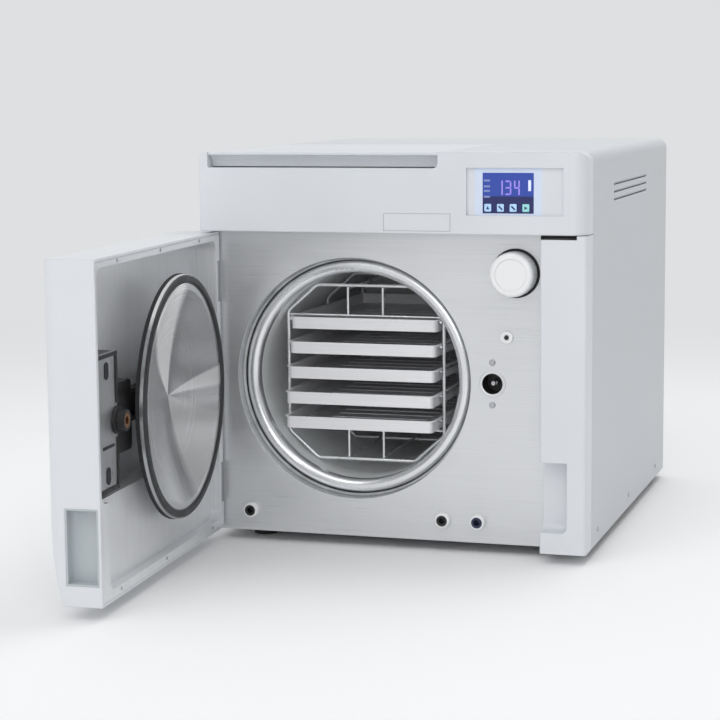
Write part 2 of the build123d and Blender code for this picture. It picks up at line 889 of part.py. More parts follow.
def lid_bead_z():
    return z_top - lid_bead_radius


def make_tank_lid():
    x0, x1 = tank_lid_x, tank_lid_x + tank_lid_width
    y0 = y_front + tank_lid_front
    under = z_top - header_groove + 1
    lip_back = y0 + tank_lid_undercut + skin
    section = (
        Line((y0, z_top - 3.5), (y0, z_top - 1.5))
        + TangentArc((y0, z_top - 1.5), (y0 + 1.5, z_top), tangent=(0, 1))
        + Polyline((y0 + 1.5, z_top), (lid_bead_y(), z_top), (lid_bead_y(), z_top - tank_lid_thick),
                   (lip_back, z_top - tank_lid_thick), (lip_back, under), (lip_back - skin, under))
        + ThreePointArc((lip_back - skin, under), (y0 + tank_lid_undercut * 0.82, z_top - 8.6),
                        (y0, z_top - 3.5))
    )
    lid = prism_x(make_face(section), x0, x1)
    lid += rod_x(lid_bead_y(), lid_bead_z(), lid_bead_radius, x0, x1)
    for z_side in (x0, x1 - skin):
        lid += block(z_side, z_side + skin, lip_back, lid_bead_y(), z_top - tank_lid_rib, z_top - tank_lid_thick)
    lid &= prism_y(rounded(x0, x1, under, z_top + 1, (step_round_left, step_round_right, 0, 0)),
                   y_front, y_back)
    for x in (x0, x1):
        lid -= rod_x(lid_bead_y(), lid_bead_z(), lid_pin_radius + hinge_running,
                     x - lid_pin_length / 2, x + lid_pin_length / 2)
    return lid


def tank_space():
    """Inside of the tub in X, Y and its floor in Z."""
    x0 = tank_lid_x + tank_side_gap
    x1 = tank_lid_x + tank_lid_width - tank_side_gap
    y0 = y_plate + tank_front_gap
    y1 = y_front + tank_lid_back - 2 * lid_bead_radius - tank_side_gap
    return x0, x1, y0, y1, chamber_z + jacket_radius + tank_clear + tank_wall


def make_tank_tub():
    x0, x1, y0, y1, floor = tank_space()
    top = z_top - tank_lid_rib - near
    tub = block(x0 - tank_wall, x1 + tank_wall, y0 - tank_wall, y1 + tank_wall, floor - tank_wall, top)
    split = x0 + (x1 - x0) * tank_split
    for a, b in ((x0, split - tank_wall / 2), (split + tank_wall / 2, x1)):
        face = rounded(a, b, y0, y1, (8, 8, 8, 8))
        tub -= prism_z(face, floor, top + 1)
    bead_y, bead_z = lid_bead_y(), lid_bead_z()
    rear = y_front + tank_lid_back + seam
    pin_half = lid_pin_length / 2 - near
    for side, x in ((-1, tank_lid_x), (1, tank_lid_x + tank_lid_width)):
        reach = x + side * tank_rail
        tub += block(*sorted((x - side * tank_side_gap, reach)), y0 - tank_wall, rear, top - 6, top)
        tub += block(*sorted((x + side * (seam + near), reach)), bead_y - 8, rear, top - 6, z_top - sheet)
        tub -= block(*sorted((x + side * near, x - side * 2 * tank_side_gap)), bead_y - lid_bead_radius - near,
                     rear + 1, top - 7, z_top)
        tub += rod_x(bead_y, bead_z, lid_pin_radius, x - pin_half, x + pin_half)
    return tub & prism_y(casing_face(sheet), y_front, y_back)


def make_strainers():
    x0, x1, y0, y1, floor = tank_space()
    split = x0 + (x1 - x0) * tank_split
    y = (y0 + y1) / 2
    parts = []
    for x in ((x0 + split) / 2, (split + x1) / 2):
        body = rod_z(x, y, strainer_radius, floor, floor + strainer_height)
        body = chamfer(body.edges().filter_by(GeomType.CIRCLE).group_by(Axis.Z)[-1], 2)
        for angle in (0, 90):
            body -= Pos(x, y, floor + strainer_height / 2) * Rot(0, 0, angle) * Box(
                4 * strainer_radius, strainer_slot, strainer_slot_height)
        parts.append(body)
    return group(parts)


# Rack of bent wire, and its trays

def hoop_points():
    """Corners of the eight-sided hoop, drawn by the wire's centre."""
    half, top_half = rack_half_width, rack_top_half
    side_z = rack_side_z
    top_z = sqrt(rack_reach ** 2 - top_half ** 2)
    quarter = [(half, side_z), (top_half, top_z)]
    right = [(half, -side_z)] + quarter
    left = [(-top_half, top_z), (-half, side_z), (-half, -side_z)]
    return right + left + [(-top_half, -top_z), (top_half, -top_z)]


def hoop_y(i):
    return y_seal + rack_front + i * rack_length / (rack_hoops - 1)


def bevelled(points, cut):
    """Cut each corner of a closed outline, so that a bend is made in two turns."""
    ends = []
    for i, corner in enumerate(points):
        corner = Vector(*corner)
        for other in (points[i - 1], points[(i + 1) % len(points)]):
            ends.append(corner + (Vector(*other) - corner).normalized() * cut)
    return ends


def hoop(y):
    """One closed hoop of wire."""
    place = Plane((chamber_x, y, chamber_z), x_dir=(1, 0, 0), z_dir=(0, -1, 0))
    path = place * Polyline(*bevelled(hoop_points(), rack_bend), close=True)
    section = Plane(path @ 0.001, z_dir=path % 0.001) * Circle(wire)
    return sweep(section, path=path, transition=Transition.RIGHT)


def make_rack_hoops():
    return group([hoop(hoop_y(i)) for i in range(rack_hoops)])


def tray_rim_z(i):
    return chamber_z + tray_top_rise - i * tray_pitch


def rail_x():
    return rack_half_width - wire - rail_wire


def rail_z(i):
    return tray_rim_z(i) - tray_wall - tray_rim_gap - rail_wire


def make_rack_wires():
    """Ten tray rails, cross wires that close the front hoop over and under the trays, and rear uprights."""
    y0, y1 = hoop_y(0), hoop_y(rack_hoops - 1)
    reach = hoop_points()[2][1] - wire
    over = tray_rim_z(0) + tray_rim_gap + rail_wire
    under = tray_rim_z(tray_count - 1) - tray_depth - tray_rim_gap - rail_wire
    half = rack_half_width - wire
    wires = [rod_x(y0, z, rail_wire, chamber_x - half, chamber_x + half) for z in (over, under)]
    for side in (-1, 1):
        for i in range(tray_count):
            wires.append(rod_y(chamber_x + side * rail_x(), rail_z(i), rail_wire, y0 - wire, y1 + wire))
        x = chamber_x + side * rack_upright_x
        wires.append(rod_z(x, y0, rail_wire, over + rail_wire, chamber_z + reach))
        wires.append(rod_z(x, y0, rail_wire, chamber_z - reach, under - rail_wire))
        wires.append(rod_z(x, y1, rail_wire, chamber_z - reach, chamber_z + reach))
        for level in (-1, 1):
            wires.append(rod_y(x, chamber_z + level * (reach - rail_wire), rail_wire, y0 + rail_wire, y1 - rail_wire))
    return group(wires)


def make_tray(i):
    """Perforated tray that hangs by its rim on two rails."""
    rim_half = rack_half_width - wire - tray_side_gap
    half = rail_x() - rail_wire - tray_side_gap
    y0 = y_seal + tray_in - tray_pulled[i]
    y1 = y0 + tray_length
    rim = tray_rim_z(i)
    low = rim - tray_depth
    middle = (y0 + y1) / 2
    outer = Pos(chamber_x, middle) * RectangleRounded(2 * half, tray_length, tray_corner)
    flange = Pos(chamber_x, middle) * RectangleRounded(2 * rim_half, tray_length, tray_rim_corner)
    inner = Pos(chamber_x, middle) * RectangleRounded(2 * (half - tray_wall), tray_length - 2 * tray_wall,
                                                      tray_corner - tray_wall)
    tray = prism_z(outer, low, rim) + prism_z(flange, rim - tray_wall, rim)
    tray -= prism_z(inner, low + tray_wall, rim + 1)
    for k in range(tray_slots):
        y = middle + (k - (tray_slots - 1) / 2) * tray_length / (tray_slots + 1)
        tray -= block(chamber_x - tray_slot_length / 2, chamber_x + tray_slot_length / 2,
                      y - tray_slot_width / 2, y + tray_slot_width / 2, low - 1, low + tray_wall + 1)
    return tray


# Door: moulded shell, drawn for the shut door and then turned open

def door_form(inset, rear):
    x0, x1 = door_x0 + inset, door_x1 - inset
    y0 = door_front + inset
    rear_radii = (0, 0) if inset else (door_rear_round, hinge_offset)
    plan = rounded(x0, x1, y0, rear, (door_corner - inset, door_corner - inset, *rear_radii))
    z0, z1 = door_z0 + inset, door_z1 - inset
    low_y = y0 + door_sweep
    sweep_z = door_z0 + door_sweep_height
    top_r = door_top_round - inset
    side = (
        Polyline((low_y, z0), (rear, z0), (rear, z1), (y0 + top_r, z1))
        + TangentArc((y0 + top_r, z1), (y0, z1 - top_r), tangent=(-1, 0))
        + Line((y0, z1 - top_r), (y0, sweep_z))
        + TangentArc((y0, sweep_z), (low_y, z0), tangent=(0, -1))
    )
    return prism_z(plan, z0, z1) & prism_x(make_face(side), x0, x1)


def grip_box(inset):
    """Pocket in the door's free edge, from the cup's outside inwards."""
    return block(door_x1 - grip_door_depth - grip_wall + inset, door_x1 + 1,
                 door_front + grip_front_wall + inset, door_rear - grip_rear_wall - inset,
                 grip_z0 + inset, grip_z1 - inset)


def hinge_notches():
    """Room in the door's rear left corner for the hinge knuckles."""
    half = knuckle_body / 2 + 2 * knuckle_gap + knuckle_door
    reach = knuckle_radius + near
    return [block(door_x0 - 1, hinge_x + reach, hinge_y - reach, door_rear + 1, z - half, z + half)
            for z in hinge_heights()]


def make_door_shell():
    shell = door_form(0, door_rear) - door_form(skin, door_rear + 1)
    shell -= grip_box(0)
    for notch in hinge_notches():
        shell -= notch
    return shell


def make_grip_cup():
    cup = grip_box(0) & block(door_x0, door_x1 - seam, door_front, door_rear, door_z0, door_z1)
    inner = grip_box(grip_wall)
    inner = fillet(inner.edges().filter_by(Axis.Z).group_by(Axis.X)[0], grip_round - grip_wall)
    return cup - inner


def liner_pockets(inset):
    """Deep pocket for the lid's carrier and a shallow one below it."""
    x0, x1 = door_x0 + liner_hinge_margin, door_x1 - skin - liner_side_margin
    step = liner_step
    z1 = door_z1 - liner_top_margin
    r = liner_corner
    deep_face = outline([(x0 - inset, step - inset), (x1 + inset, step - inset), (x1 + inset, z1 + inset),
                         (x0 - inset, z1 + inset)], (r, r, r, r))
    deep = prism_y(deep_face, liner_floor - inset, door_rear + 1)
    x2 = door_x1 - skin - liner_grip_margin
    low = door_z0 + liner_foot_margin
    shallow_face = outline([(x0 - inset, low - inset), (x2 + inset, low - inset), (x2 + inset, step + 2 * r),
                            (x0 - inset, step + 2 * r)], (r, r, 0, 0))
    shallow = prism_y(shallow_face, door_rear - liner_shallow - inset, door_rear + 1)
    return deep + shallow


def make_door_liner():
    edge = skin + liner_fit
    liner = block(door_x0 + edge, door_x1 - edge, door_rear - liner_sheet, door_rear,
                  door_z0 + edge, door_z1 - edge)
    liner += liner_pockets(liner_sheet) & block(x_left, x_right, liner_floor - liner_sheet, door_rear,
                                                z_low, z_head)
    liner -= liner_pockets(0)
    for notch in hinge_notches():
        liner -= notch
    return liner


def hinge_leaf(z):
    body_half = knuckle_body / 2
    x_in = door_x0 + skin
    leaf = None
    for side in (-1, 1):
        a = z + side * (body_half + knuckle_gap)
        b = a + side * knuckle_door
        z0, z1 = sorted((a, b))
        knuckle = rod_z(hinge_x, hinge_y, knuckle_radius, z0, z1)
        knuckle += block(x_in, x_in + hinge_leaf_thick, hinge_y - hinge_leaf_depth, hinge_y, z0, z1)
        leaf = knuckle if leaf is None else leaf + knuckle
    end = body_half + knuckle_gap + knuckle_door
    leaf += block(x_in, x_in + hinge_leaf_thick, hinge_y - hinge_leaf_depth,
                  hinge_y - knuckle_radius - 2, z - end, z + end)
    return leaf - rod_z(hinge_x, hinge_y, hinge_pin_radius + hinge_running, z - end - 1, z + end + 1)


def make_hinge_leaves():
    return group([hinge_leaf(z) for z in hinge_heights()])


def make_carrier():
    """Cast arm that carries the lid's ball stud and, at its free end, the yoke of the lock nut."""
    z = chamber_z
    yoke_x1 = lock_x - yoke_short_of_nut
    yoke_x0 = yoke_x1 - yoke_width
    left = door_x0 + liner_hinge_margin + carrier_end_gap
    arm = outline(
        [(left, z - carrier_arm_height / 2), (yoke_x0, z - carrier_arm_height / 2 + carrier_taper),
         (yoke_x0, z + carrier_arm_height / 2 - carrier_taper), (left, z + carrier_arm_height / 2)],
        (carrier_corner, 0, 0, carrier_corner),
    )
    carrier = prism_y(arm, carrier_back, carrier_front)
    carrier += rod_y(chamber_x, z, carrier_boss_radius, carrier_back, carrier_front)
    yoke_front = carrier_back + yoke_thick
    yoke_face = outline(
        [(yoke_x0, z - yoke_height / 2), (yoke_x1, z - yoke_height / 2), (yoke_x1, z + yoke_height / 2),
         (yoke_x0, z + yoke_height / 2)], (yoke_corner, yoke_corner / 2, yoke_corner / 2, yoke_corner))
    carrier += prism_y(yoke_face, carrier_back, yoke_front)
    carrier += rod_y(lock_x, z, nut_collar_radius, carrier_back, door_rear - near)
    for side in (-1, 1):
        carrier -= rod_y(yoke_x1 + yoke_notch_out, z + side * (yoke_height / 2 - yoke_notch_in), yoke_notch,
                         carrier_back - 1, yoke_front + 1)
        pocket_x0, pocket_x1 = sorted((chamber_x + side * (carrier_boss_radius + carrier_rib),
                                       chamber_x + side * (carrier_boss_radius + carrier_rib + pocket_length)))
        carrier -= block(pocket_x0, pocket_x1, carrier_front - pocket_depth, carrier_front + 1,
                         z - carrier_arm_height / 2 + pocket_edge, z + carrier_arm_height / 2 - pocket_edge)
    carrier -= rod_y(lock_x, z, nut_radius, carrier_back + nut_seat, door_rear + 1)
    carrier -= rod_y(chamber_x, z, stud_radius + stud_running, carrier_back - 1, carrier_front + 1)
    for x in (left + carrier_foot_in, yoke_x0 - carrier_foot_in):
        carrier += rod_y(x, z, carrier_foot_radius, liner_floor, carrier_back)
    return carrier


def make_lock_nut():
    nut = rod_y(lock_x, chamber_z, nut_radius, carrier_back + nut_seat, door_rear + nut_proud)
    nut = chamfer(nut.edges().filter_by(GeomType.CIRCLE).group_by(Axis.Y)[-1], 1.0)
    return nut - rod_y(lock_x, chamber_z, nut_bore_radius, carrier_back + nut_seat + nut_end,
                       door_rear + nut_proud + 1)


def make_nut_bracket():
    """Steel channel at the free side that holds the yoke's pull and meets the door switch."""
    x1 = door_x1 - skin - liner_side_margin - bracket_gap
    x0 = x1 - bracket_width
    z0, z1 = chamber_z - bracket_height / 2, chamber_z + bracket_height / 2
    y0, y1 = liner_floor, liner_floor + bracket_stand
    bracket = block(x0, x1, y0, y1, z0, z1)
    bracket -= block(x0 + bracket_sheet, x1 - bracket_sheet, y0 - 1, y1 - bracket_sheet, z0 - 1, z1 + 1)
    for z in (z0 + bracket_hole_in, z1 - bracket_hole_in):
        bracket -= rod_y((x0 + x1) / 2, z, bracket_hole, y0, y1 + 1)
    bracket = fillet(bracket.edges().filter_by(Axis.Z).group_by(Axis.Y)[-1], 1.5)
    return bracket - rod_y(lock_x, chamber_z, nut_collar_radius + near, y0 - 1, y1 + 1)


# Lid: dished plate with its gasket, on a ball stud that slides in the carrier

def make_lid_plate():
    rim_in = lid_radius - lid_rim_width
    dish_front = lid_rim_front
    outer = make_face(
        Line((0, dish_front - lid_dish - lid_plate), (0, dish_front - lid_dish))
        + ThreePointArc((0, dish_front - lid_dish), (rim_in * 0.55, dish_front - lid_dish * 0.70),
                        (rim_in, dish_front))
        + Polyline((rim_in, dish_front), (lid_radius, dish_front), (lid_radius, lid_rim_back),
                   (rim_in + 4, lid_rim_back))
        + ThreePointArc((rim_in + 4, lid_rim_back),
                        (rim_in * 0.6, dish_front - lid_dish * 0.64 - lid_plate * 1.15),
                        (0, dish_front - lid_dish - lid_plate))
    )
    plate = turned_y(chamber_x, chamber_z, outer)
    plate -= tube_y(chamber_x, chamber_z, gasket_outer, gasket_inner, gasket_front - gasket_thick, gasket_front + 1)
    dish_back = dish_front - lid_dish - lid_plate
    plate += rod_y(chamber_x, chamber_z, lid_hub_radius, ball_y - lid_hub_back, dish_back + 1.5)
    return plate - Pos(chamber_x, ball_y, chamber_z) * Sphere(lid_ball_radius + lid_ball_running)


def make_lid_gasket():
    face = rounded(gasket_inner, gasket_outer, gasket_front - gasket_thick, gasket_front, (0, 0, 2.5, 2.5))
    return turned_y(chamber_x, chamber_z, face)


def make_ball_stud():
    stud = rod_y(chamber_x, chamber_z, stud_radius, ball_y - stud_length, ball_y)
    return stud + Pos(chamber_x, ball_y, chamber_z) * Sphere(lid_ball_radius)


# Rear panel with the fan, mains inlet, rocker switch and drain spigot

def make_rear_panel():
    y0, y1 = y_back - rear_sheet - 1, y_back + 1
    panel = prism_y(casing_face(sheet), y_back - rear_sheet, y_back)
    for k in range(guard_rings):
        r = fan_opening - guard_slot / 2 - k * guard_pitch
        panel -= tube_y(fan_x, fan_z, r, r - guard_slot, y0, y1)
    bar = guard_bar / 2
    panel += block(fan_x - fan_opening, fan_x + fan_opening, y_back - rear_sheet, y_back, fan_z - bar, fan_z + bar)
    panel += block(fan_x - bar, fan_x + bar, y_back - rear_sheet, y_back, fan_z - fan_opening, fan_z + fan_opening)
    z = rocker_z
    panel -= block(inlet_x - inlet_width / 2, inlet_x + inlet_width / 2, y0, y1,
                   z - inlet_height / 2, z + inlet_height / 2)
    panel -= block(rocker_x - rocker_frame_x, rocker_x + rocker_frame_x, y0, y1,
                   z - rocker_frame_z, z + rocker_frame_z)
    panel -= rod_y(drain_x, drain_z, drain_radius, y0, y1)
    for k in range(rear_louvres):
        louvre_z = chamber_z - rear_louvre_drop + k * rear_louvre_pitch
        panel -= block(drain_x - rear_louvre_length / 2, drain_x + rear_louvre_length / 2, y0, y1,
                       louvre_z, louvre_z + rear_louvre_height)
    return panel


def make_fan_frame():
    y1 = y_back - rear_sheet
    y0 = y1 - fan_depth
    reach = fan_opening + fan_frame_wall
    frame = prism_y(Pos(fan_x, fan_z) * RectangleRounded(fan_frame, fan_frame, fan_frame_corner), y0, y1)
    frame -= rod_y(fan_x, fan_z, fan_opening + fan_frame_wall / 2, y0 - 1, y1 + 1)
    half = fan_spoke / 2
    frame += block(fan_x - reach, fan_x + reach, y0, y0 + fan_spoke_thick, fan_z - half, fan_z + half)
    frame += block(fan_x - half, fan_x + half, y0, y0 + fan_spoke_thick, fan_z - reach, fan_z + reach)
    frame += rod_y(fan_x, fan_z, fan_hub_radius, y0, y0 + fan_spoke_thick)
    return frame + rod_y(fan_x, fan_z, fan_bearing, y0, y0 + fan_bearing_length)


def make_fan_rotor():
    y1 = y_back - rear_sheet - fan_spoke_thick
    y0 = y_back - rear_sheet - fan_depth + fan_spoke_thick + 1
    hub = rod_y(fan_x, fan_z, fan_hub_radius, y0, y1)
    hub = chamfer(hub.edges().filter_by(GeomType.CIRCLE).group_by(Axis.Y)[-1], 2)
    hub -= rod_y(fan_x, fan_z, fan_bearing + fan_running, y0 - 1, y_back - rear_sheet - fan_depth
                 + fan_bearing_length + near)
    inner, outer = fan_hub_radius - blade_tip_gap, fan_opening - blade_tip_gap
    blade = Rot(blade_pitch, 0, 0) * Box(outer - inner, blade_thick, blade_width)
    swept = tube_y(fan_x, fan_z, fan_opening, inner, y0, y1)
    for k in range(fan_blades):
        turn = Pos(fan_x, (y0 + y1) / 2, fan_z) * Rot(0, k * 360 / fan_blades, 0)
        hub += turn * Pos((inner + outer) / 2, 0, 0) * blade & swept
    return hub


def make_mains_inlet():
    """Appliance inlet and the rocker switch's frame, in one moulding."""
    y, z = rocker_y, rocker_z
    w, h = rocker_frame_x, rocker_frame_z
    inlet = block(inlet_x - inlet_width / 2, inlet_x + inlet_width / 2, y_back - inlet_depth - inlet_wall, y_back,
                  z - inlet_height / 2, z + inlet_height / 2)
    inlet += block(rocker_x - w, rocker_x + w, y - rocker_deep, y_back, z - h, z + h)
    inlet += prism_y(rounded(inlet_x - inlet_width / 2 - inlet_lip, rocker_x + w + inlet_lip / 2,
                             z - h - skin, z + h + skin, (skin, skin, skin, skin)), y_back, y_back + inlet_skin)
    a, b = inlet_well_width / 2, inlet_well_height / 2
    cut = inlet_well_bevel
    well = outline([(inlet_x - a, z - b), (inlet_x + a, z - b), (inlet_x + a, z + b - cut),
                    (inlet_x + a - cut, z + b), (inlet_x - a + cut, z + b), (inlet_x - a, z + b - cut)], 1)
    inlet -= prism_y(well, y_back - inlet_depth, y_back + skin)
    for column, lift in ((-1, -inlet_pin), (0, inlet_pin), (1, -inlet_pin)):
        x = inlet_x + column * inlet_pin_pitch
        inlet += block(x - inlet_pin / 2, x + inlet_pin / 2, y_back - inlet_depth, y_back - inlet_pin,
                       z + lift - inlet_pin_height / 2, z + lift + inlet_pin_height / 2)
    inlet -= block(rocker_x - w + inlet_skin, rocker_x + w - inlet_skin, y - rocker_deep + inlet_skin,
                   y_back + skin, z - h + inlet_skin, z + h - inlet_skin)
    for side in (-1, 1):
        a, b = sorted((rocker_x + side * (w - inlet_skin), rocker_x + side * (rocker_width / 2 - rocker_pin_in)))
        inlet += rod_x(y, z, rocker_pin_radius, a, b)
    return inlet


def make_rocker():
    """Mains rocker, tipped to off, on stub pins in its frame."""
    y, z = rocker_y, rocker_z
    half = rocker_height / 2 - rocker_gap
    inner, outer, waist = y - rocker_below, y + rocker_ends, y + rocker_waist
    profile = make_face(Polyline((inner, z - half / 2), (outer, z - half), (waist, z), (outer, z + half),
                                 (inner, z + half / 2), close=True))
    rocker = prism_x(profile, rocker_x - rocker_width / 2, rocker_x + rocker_width / 2)
    rocker = rocker.rotate(Axis((rocker_x, y, z), (1, 0, 0)), rocker_tilt / 2)
    for side in (-1, 1):
        a, b = sorted((rocker_x + side * rocker_width, rocker_x + side * (rocker_width / 2 - rocker_pin_in - near)))
        rocker -= rod_x(y, z, rocker_pin_radius + hinge_running, a, b)
    return rocker


def make_drain_spigot():
    nut = extrude(RegularPolygon(drain_nut, 6), drain_nut_thick / 2, both=True)
    spigot = rod_y(drain_x, drain_z, drain_radius, y_back - rear_sheet - drain_inside, y_back + drain_length)
    spigot += Pos(drain_x, y_back + drain_nut_thick / 2, drain_z) * Rot(90, 0, 0) * nut
    spigot += rod_y(drain_x, drain_z, drain_flange, y_back - 2 * rear_sheet - drain_radius / 2, y_back - rear_sheet)
    return spigot - rod_y(drain_x, drain_z, drain_bore, y_back - drain_inside, y_back + drain_length + 1)


# Machinery in the space beside and behind the chamber

pump_to_back = 47.5
pump_length = 150.0
pump_radius = 34.0
pump_foot = 12.0
pump_foot_width = 52.0
pump_foot_length = 14.0
pump_body_share = 0.6       # of its length before the head
pump_head = 76.0
pump_head_thick = 16.0
pump_motor_radius = 28.0
pump_ribs = 5
pump_rib = 3.0
pump_rib_pitch = 14.0
generator_gap = 18.0        # behind the valves
generator_radius = 34.0
generator_height = 130.0
generator_foot = 14.0
generator_foot_width = 8.0
generator_foot_length = 32.0
generator_foot_pitch = 40.0
generator_neck_radius = 12.0
generator_neck = 14.0
generator_shoulder = 8.0
manifold_in = 58.5          # behind the front plate
manifold_length = 110.0
manifold_width = 34.0
manifold_height = 30.0
valve_count = 4
valve_radius = 12.0
valve_height = 34.0
valve_cap_radius = 4.0
valve_cap = 5.0
supply_in = 45.5            # behind the front plate
supply_above = 15.0         # over the steam generator
supply_length = 250.0
supply_height = 150.0
supply_stand = 10.0
supply_pillar = 4.0
supply_pillar_in = 8.0
coil_length = 50.0
coil_height = 30.0
coil_from_end = 100.0
capacitor_radius = 9.0
capacitor_height = 25.0
capacitor_pitch = 38.0
capacitor_from_end = 50.0
capacitor_count = 3
condenser_fins = 12
condenser_fin = 3.0
condenser_width = 100.0
condenser_depth = 40.0
condenser_plate = 4.0
condenser_pipe = 5.0
condenser_pipe_pitch = 28.0
condenser_pipe_end = 8.0


def side_x():
    """Middle of the free space between the chamber jacket and the right side panel."""
    return (chamber_x + jacket_radius + x_right) / 2


def make_vacuum_pump():
    """Pump with a ribbed body, its head, its motor and two feet, in line along Y."""
    x = side_x()
    z0 = z_low + sheet
    z = z0 + pump_foot + pump_radius
    y1 = y_back - pump_to_back
    y0 = y1 - pump_length
    head_y = y0 + pump_length * pump_body_share
    half = pump_head / 2
    pump = rod_y(x, z, pump_radius, y0, head_y)
    pump += block(x - half, x + half, head_y, head_y + pump_head_thick, z - half, z + half)
    pump += rod_y(x, z, pump_motor_radius, head_y + pump_head_thick, y1)
    for k in range(pump_ribs):
        y = y0 + pump_rib_pitch * (k + 1)
        pump += rod_y(x, z, pump_radius + pump_rib, y, y + pump_rib)
    for y in (y0 + pump_rib, head_y):
        pump += block(x - pump_foot_width / 2, x + pump_foot_width / 2, y, y + pump_foot_length, z0, z)
    return pump


def generator_place():
    """Middle of the steam generator in Y, and its top."""
    y = y_plate_back + manifold_in + manifold_length + generator_gap + generator_radius
    return y, z_low + sheet + generator_foot + generator_height


def make_steam_generator():
    """Upright boiler with a bevelled top and bottom, on two feet."""
    x = side_x()
    y, z1 = generator_place()
    z0 = z_low + sheet
    tank = rod_z(x, y, generator_radius, z0 + generator_foot, z1)
    tank = chamfer(tank.edges().filter_by(GeomType.CIRCLE), generator_shoulder)
    tank += rod_z(x, y, generator_neck_radius, z1, z1 + generator_neck)
    for side in (-1, 1):
        foot_x = x + side * generator_foot_pitch / 2
        tank += block(foot_x - generator_foot_width / 2, foot_x + generator_foot_width / 2,
                      y - generator_foot_length / 2, y + generator_foot_length / 2,
                      z0, z0 + generator_foot + generator_shoulder + skin)
    return tank


def make_valve_manifold():
    x = side_x()
    z0 = z_low + sheet
    y0 = y_plate_back + manifold_in
    half = manifold_width / 2
    coil_top = z0 + manifold_height + valve_height
    body = block(x - half, x + half, y0, y0 + manifold_length, z0, z0 + manifold_height)
    pitch = manifold_length / valve_count
    for k in range(valve_count):
        y = y0 + (k + 0.5) * pitch
        body += rod_z(x, y, valve_radius, z0 + manifold_height, coil_top)
        body += rod_z(x, y, valve_cap_radius, coil_top, coil_top + valve_cap)
    return body


def make_power_board():
    """Power supply board on the inside of the right wall, with its larger parts."""
    wall = x_right - sheet
    back = wall - supply_stand
    face = back - board_thick
    y0 = y_plate_back + supply_in
    y1 = y0 + supply_length
    z0 = generator_place()[1] + generator_neck + supply_above
    z1 = z0 + supply_height
    board = block(face, back, y0, y1, z0, z1)
    for y in (y0 + supply_pillar_in, y1 - supply_pillar_in):
        for z in (z0 + supply_pillar_in, z1 - supply_pillar_in):
            board += block(back, wall, y - supply_pillar, y + supply_pillar, z - supply_pillar, z + supply_pillar)
    coil_y, middle = y1 - coil_from_end - coil_length, (z0 + z1) / 2
    board += block(face - coil_height, face, coil_y, coil_y + coil_length,
                   middle - coil_length / 2, middle + coil_length / 2)
    for k in range(capacitor_count):
        z = middle + (k - (capacitor_count - 1) / 2) * capacitor_pitch
        board += rod_x(y1 - capacitor_from_end, z, capacitor_radius, face - capacitor_height, face)
    return board


def make_condenser():
    """Finned coil in front of the fan, hung on the fan frame, with the bends of its pipe at each side."""
    y1 = y_back - rear_sheet - fan_depth
    y0 = y1 - condenser_depth
    half = condenser_width / 2
    x0, x1 = fan_x - half, fan_x + half
    core = block(x0, x1, y0, y1, fan_z - half, fan_z - half + condenser_plate)
    core += block(x0, x1, y0, y1, fan_z + half - condenser_plate, fan_z + half)
    for k in range(condenser_fins):
        x = x0 + k * (condenser_width - condenser_fin) / (condenser_fins - 1)
        core += block(x, x + condenser_fin, y0, y1, fan_z - half, fan_z + half)
    for level in (-1, 0, 1):
        z = fan_z + level * condenser_pipe_pitch
        core += rod_x((y0 + y1) / 2, z, condenser_pipe, x0 - condenser_pipe_end, x0)
        core += rod_x((y0 + y1) / 2, z, condenser_pipe, x1, x1 + condenser_pipe_end)
    return core


# Build every piece and write it

nodes = {
    "feet": make_feet(),
    "base_pan": make_base_pan(),
    "front_plate": make_front_plate(),
    "plate_screws": make_plate_screws(),
    "casing": make_casing(),
    "header": make_header(),
    "display_panel": make_display_panel(),
    "display_glass": make_display_glass(),
    "control_board": make_control_board(),
    "pillar": make_pillar(),
    "chamber_vessel": make_chamber_vessel(),
    "chamber_ring": make_chamber_ring(),
    "heater_bands": make_heater_bands(),
    "chamber_jacket": make_jacket(),
    "chamber_cradles": make_cradles(),
    "hinge_brackets": make_hinge_brackets(),
    "hinge_pins": make_hinge_pins(),
    "lock_cup": make_lock_cup(),
    "lock_motor": make_lock_motor(),
    "lock_spindle": make_lock_spindle(),
    "filter_socket": make_filter_socket(),
    "air_filter": make_air_filter(),
    "quick_ports": make_ports(),
    "switch_body": make_switch_body(),
    "switch_plunger": make_switch_plunger(),
    "tank_lid": make_tank_lid(),
    "tank_tub": make_tank_tub(),
    "tank_strainers": make_strainers(),
    "rack_hoops": make_rack_hoops(),
    "rack_wires": make_rack_wires(),
    "door_shell": open_door(make_door_shell()),
    "door_grip_cup": open_door(make_grip_cup()),
    "door_liner": open_door(make_door_liner()),
    "hinge_leaves": open_door(make_hinge_leaves()),
    "lid_carrier": open_door(make_carrier()),
    "lock_nut": open_door(make_lock_nut()),
    "nut_bracket": open_door(make_nut_bracket()),
    "lid_plate": open_door(make_lid_plate()),
    "lid_gasket": open_door(make_lid_gasket()),
    "lid_ball_stud": open_door(make_ball_stud()),
    "rear_panel": make_rear_panel(),
    "fan_frame": make_fan_frame(),
    "fan_rotor": make_fan_rotor(),
    "mains_inlet": make_mains_inlet(),
    "mains_rocker": make_rocker(),
    "drain_spigot": make_drain_spigot(),
    "vacuum_pump": make_vacuum_pump(),
    "steam_generator": make_steam_generator(),
    "valve_manifold": make_valve_manifold(),
    "power_board": make_power_board(),
    "condenser": make_condenser(),
}
for index in range(key_count):
    nodes[f"key_{index + 1}"] = make_key(index)
for index in range(tray_count):
    nodes[f"tray_{index + 1}"] = make_tray(index)

for name, shape in nodes.items():
    export_step(shape, f"parts/{name}.step")
print(len(nodes), "nodes")
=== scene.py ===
import json
import math

import bmesh
import bpy
from mathutils import Matrix, Vector


